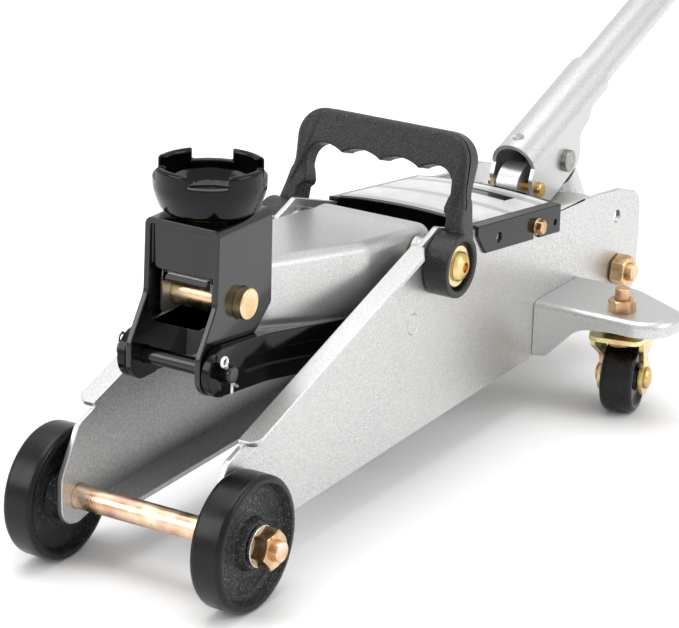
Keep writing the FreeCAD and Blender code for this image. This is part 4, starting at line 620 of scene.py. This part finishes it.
# The carry handle's outlines in millimetres, across from its middle and up from its pivot. They hold its left
# half: the outer one from the foot up, the inner one from the crook of the leg down.
LEAN = math.radians(17.0)
LEG_OUTSIDE = [(54.5, 4), (54.5, 12), (53.4, 17), (51.6, 23.5), (51.3, 27), (51.0, 31), (49.9, 33.6),
               (49.4, 37)]
LEG_INSIDE = [(42.4, 34.6), (41.2, 31.9), (40.6, 27.0), (41.4, 24.6), (43.4, 22.8), (43.4, 4)]
TOP_CORNER = arc((34.3, 49.6), 15, 0, 90, 12)
CROOK = arc((33.6, 38.2), 8.6, 90, 0, 8)
FINGER_TOP, FINGER_PITCH, CUSP, FINGERS_REACH = 47.1, 22.3, 3.4, 33
MID_DEPTH = -6.5 * MM             # where the handle's middle lies along the way it faces
NECK_TOP = (50 * MM, 36 * MM)     # the leg thins on its way down between these heights
NECK_FOOT = (24 * MM, 32 * MM)    # and on its way up between these
NECK_THIN = 0.34                  # the share of its depth that it loses
RIM_OUT, RIM_IN = 2.6 * MM, 1.1 * MM
GROOVE_DEPTH, GROOVE_FROM = 1.3 * MM, 30
# Each cup, as radius and distance from the jack's middle, in millimetres.
CUP = ((4.2, 43.3), (15.2, 43.3), (16.0, 44.1), (16.0, 55.9), (15.7, 56.5), (15.1, 56.8), (13.2, 56.8),
       (12.5, 56.4), (12.3, 55.6), (12.0, 52.9), (4.2, 52.9))
FRONT_FACE, BACK_FACE = 1 * MM, -14 * MM


def mirrored(points):
    """A row of points on the other side, in the opposite order."""
    return [(-x, z) for x, z in reversed(points)]


def scallops(steps=14):
    """The grip's lower edge from right to left: hollows for four fingers with a cusp between each two."""
    row = [k * FINGER_PITCH / steps for k in range(-2 * steps, 2 * steps + 1)]
    return [(x, FINGER_TOP - CUSP * (1 - abs(math.sin(math.pi * x / FINGER_PITCH)) ** 0.8))
            for x in row if abs(x) < FINGERS_REACH]


class JACK_OT_carry_handle(bpy.types.Operator):
    """Mould the carry handle: a scalloped grip on grooved legs, with a cup at each end"""
    bl_idname = "jack.carry_handle"
    bl_label = "Carry handle"

    def execute(self, context):
        up = Vector((-math.sin(LEAN), 0, math.cos(LEAN)))
        front = Vector((math.cos(LEAN), 0, math.sin(LEAN)))
        bolts = middle("carry_handle_bolts")
        pivot = Vector((bolts.x, 0, bolts.z))

        def place(across, rise, depth):
            """A point of the handle. The legs are thinner than the grip and the feet."""
            thick = 1 - NECK_THIN * ramp(rise, *NECK_TOP) * ramp(rise, *NECK_FOOT)
            return pivot + Y * across + up * rise + front * (MID_DEPTH + (depth - MID_DEPTH) * thick)

        half = LEG_OUTSIDE + TOP_CORNER
        outside = half + mirrored(half)
        inside = mirrored(LEG_INSIDE) + mirrored(CROOK) + scallops() + CROOK + LEG_INSIDE
        points = [(x * MM, z * MM) for x, z in outside + inside]
        rounds = [RIM_OUT] * len(outside) + [RIM_IN] * len(inside)
        grooves = [GROOVE_DEPTH if z > GROOVE_FROM else 0.0 for x, z in outside] + [0.0] * len(inside)
        body = pillow(points, rounds, grooves, place, BACK_FACE, FRONT_FACE)
        section = [(radius * MM, out * MM) for radius, out in CUP]
        cups = [lathed(section, pivot, side, CUP_STEPS) for side in (Y, -Y)]
        put(gathered(body, *cups), "carry_handle_finished", "carry_handle", smooth=48)
        return {"FINISHED"}


class JACK_OT_handle(bpy.types.Operator):
    """Round and paint the handle socket and tubes"""
    bl_idname = "jack.handle"
    bl_label = "Handle"

    def execute(self, context):
        rounded("handle_socket", sizes().fork_round, clamp=True)
        rounded("handle_lower_tube", sizes().tube_round, clamp=True)
        rounded("handle_upper_tube", sizes().tube_round, clamp=True)
        rounded("handle_grip", sizes().grip_round)
        return {"FINISHED"}


class JACK_OT_casters(bpy.types.Operator):
    """Round and finish the casters"""
    bl_idname = "jack.casters"
    bl_label = "Casters"

    def execute(self, context):
        nylon = moulded_nylon()
        pale = yellow_zinc("pale_fork_plate", "D3C07A", "E6DDAC", "CF9F8C")
        for side in ("left", "right"):
            rounded(side + "_caster_fork", sizes().fork_round, pale, clamp=True)
            rounded(side + "_caster_axle", sizes().caster_axle_round)
            rounded(side + "_caster_wheel", sizes().caster_wheel_round, nylon)
        rounded("caster_races", sizes().bolt_round)
        return {"FINISHED"}


SPRING_OUT = 35.7 * MM    # each spring's distance from the jack's middle
SPRING_REACH = 4.0 * MM   # from the springs' box to the middle of an end eye
EYE = 3.4 * MM            # radius of an end eye
COIL = 3.3 * MM           # outer radius of the coil
SHANK = 5 * MM            # straight wire between an eye and the coil
COIL_GAP = 1.05           # the pitch of the coil, in wire diameters
COIL_SIDES, WIRE_SIDES = 12, 7
EYE_TURN = 20             # degrees between two points of an eye


def spring_path(rear, front, thick):
    """The middle of a spring's wire: an eye, the coil and another eye."""
    way = (front - rear).normalized()
    side = way.cross(Y).normalized()
    start, stop = EYE + SHANK, (front - rear).length - EYE - SHANK
    turns = int((stop - start) / (thick * 2 * COIL_GAP))
    path = [rear - (way * math.cos(a) + side * math.sin(a)) * EYE
            for a in (math.radians(EYE_TURN * k) for k in range(1, 18))]
    for k in range(turns * COIL_SIDES + 1):
        a = 2 * math.pi * k / COIL_SIDES
        along = start + (stop - start) * k / (turns * COIL_SIDES)
        path.append(rear + way * along + (side * math.cos(a) + Y * math.sin(a)) * (COIL - thick))
    path += [front + (way * math.cos(a) + side * math.sin(a)) * EYE
             for a in (math.radians(EYE_TURN * k) for k in range(-8, 9))]
    return path


class JACK_OT_works(bpy.types.Operator):
    """Finish the hydraulic unit and coil the return springs"""
    bl_idname = "jack.works"
    bl_label = "Hydraulic unit"

    def execute(self, context):
        for node in ("hydraulic_block", "reservoir", "ram_cylinder", "ram_gland", "filler_plug"):
            rounded(node, sizes().tube_round, clamp=True)
        repaint("ram", "release_valve_pin", "pump_plunger", "lift_arm_shaft", "arm_shaft_spacers",
                "cross_bolt_spacers", "ram_roller", "roller_pin", "saddle_retainer")
        low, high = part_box("return_springs")
        rear = Vector((low.x + SPRING_REACH, 0, low.z + SPRING_REACH))
        front = Vector((high.x - SPRING_REACH, 0, high.z - SPRING_REACH))
        thick = sizes().spring_wire / 2
        springs = [wire(spring_path(rear + Y * out, front + Y * out, thick), thick, WIRE_SIDES)
                   for out in (SPRING_OUT, -SPRING_OUT)]
        piece = put(gathered(*springs), "return_springs_finished", "return_springs", smooth=60, ride=False)
        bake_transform(piece)
        return {"FINISHED"}


# ---------------------------------------------------------------- stage
CAMERA_RIGHT = Vector((-0.52147, 0.85291, 0.02465))
CAMERA_UP = Vector((-0.27653, -0.19626, 0.94075))
AIM = Vector((0.15, 0, 0.08))  # what the lights face
# Each soft box: its name, its place, its side in metres and its power in watts.
SOFT_BOXES = (
    ("top_box", (0.2, -0.3, 2.2), 1.8, 28),
    ("left_box", (1.9, -1.4, 1.2), 1.2, 16),
    ("right_box", (-0.4, 2.2, 1.3), 1.4, 18),
)


def soft_light(name, place, size, power):
    """A square soft box that faces the jack."""
    lamp = bpy.data.lights.new(name, "AREA")
    lamp.size = size
    lamp.energy = power
    light = bpy.data.objects.new(name, lamp)
    light.location = place
    light.rotation_euler = (AIM - Vector(place)).to_track_quat("-Z", "Y").to_euler()
    bpy.context.collection.objects.link(light)


class JACK_OT_stage(bpy.types.Operator):
    """Set the floor, the lights and the camera"""
    bl_idname = "jack.stage"
    bl_label = "Stage"

    def execute(self, context):
        stage = context.scene.jack_stage
        axle = middle("front_axle")
        origin = Vector((axle.x, 0, 0))
        camera = bpy.data.objects.new("camera", bpy.data.cameras.new("camera"))
        camera.data.lens = stage.lens
        turn = Matrix((CAMERA_RIGHT, CAMERA_UP, CAMERA_RIGHT.cross(CAMERA_UP))).transposed()
        camera.matrix_world = Matrix.Translation(origin + Vector(stage.camera_place)) @ turn.to_4x4()
        context.collection.objects.link(camera)
        context.scene.camera = camera
        bm = bmesh.new()
        bmesh.ops.create_grid(bm, x_segments=1, y_segments=1, size=stage.floor_size / 2)
        mesh = bpy.data.meshes.new("floor")
        bm.to_mesh(mesh)
        bm.free()
        mesh.materials.append(floor_paper())
        floor = bpy.data.objects.new("floor", mesh)
        context.collection.objects.link(floor)
        for name, place, size, power in SOFT_BOXES:
            soft_light(name, place, size, power)
        world = bpy.data.worlds.new("studio")
        context.scene.world = world
        world.use_nodes = True
        world.node_tree.nodes.clear()
        values = {"Color": linear("FAFAFA"), "Strength": 0.95}
        back = add_node(world.node_tree, "ShaderNodeBackground", values=values)
        add_node(world.node_tree, "ShaderNodeOutputWorld", links={"Surface": back.outputs["Background"]})
        context.scene.view_settings.view_transform = "Standard"
        return {"FINISHED"}


class JACK_PT_panel(bpy.types.Panel):
    """Lists the steps that build the jack"""
    bl_label = "Trolley Jack"
    bl_idname = "JACK_PT_panel"
    bl_space_type = "VIEW_3D"
    bl_region_type = "UI"
    bl_category = "Trolley Jack"

    def draw(self, context):
        for step in STEPS:
            self.layout.operator(step.bl_idname)


STEPS = (JACK_OT_stage, JACK_OT_sheet, JACK_OT_front_wheels, JACK_OT_fasteners, JACK_OT_saddle,
         JACK_OT_carry_handle, JACK_OT_handle, JACK_OT_casters, JACK_OT_works)
CLASSES = (JackSizes, JackStage) + STEPS + (JACK_PT_panel,)


def register():
    for cls in CLASSES:
        bpy.utils.register_class(cls)
    bpy.types.Scene.jack_sizes = bpy.props.PointerProperty(type=JackSizes)
    bpy.types.Scene.jack_stage = bpy.props.PointerProperty(type=JackStage)


def unregister():
    del bpy.types.Scene.jack_stage
    del bpy.types.Scene.jack_sizes
    for cls in reversed(CLASSES):
        bpy.utils.unregister_class(cls)


def main():
    """Build every piece in order."""
    register()
    for step in STEPS:
        family, name = step.bl_idname.split(".")
        getattr(getattr(bpy.ops, family), name)()


if __name__ == "__main__":
    main()
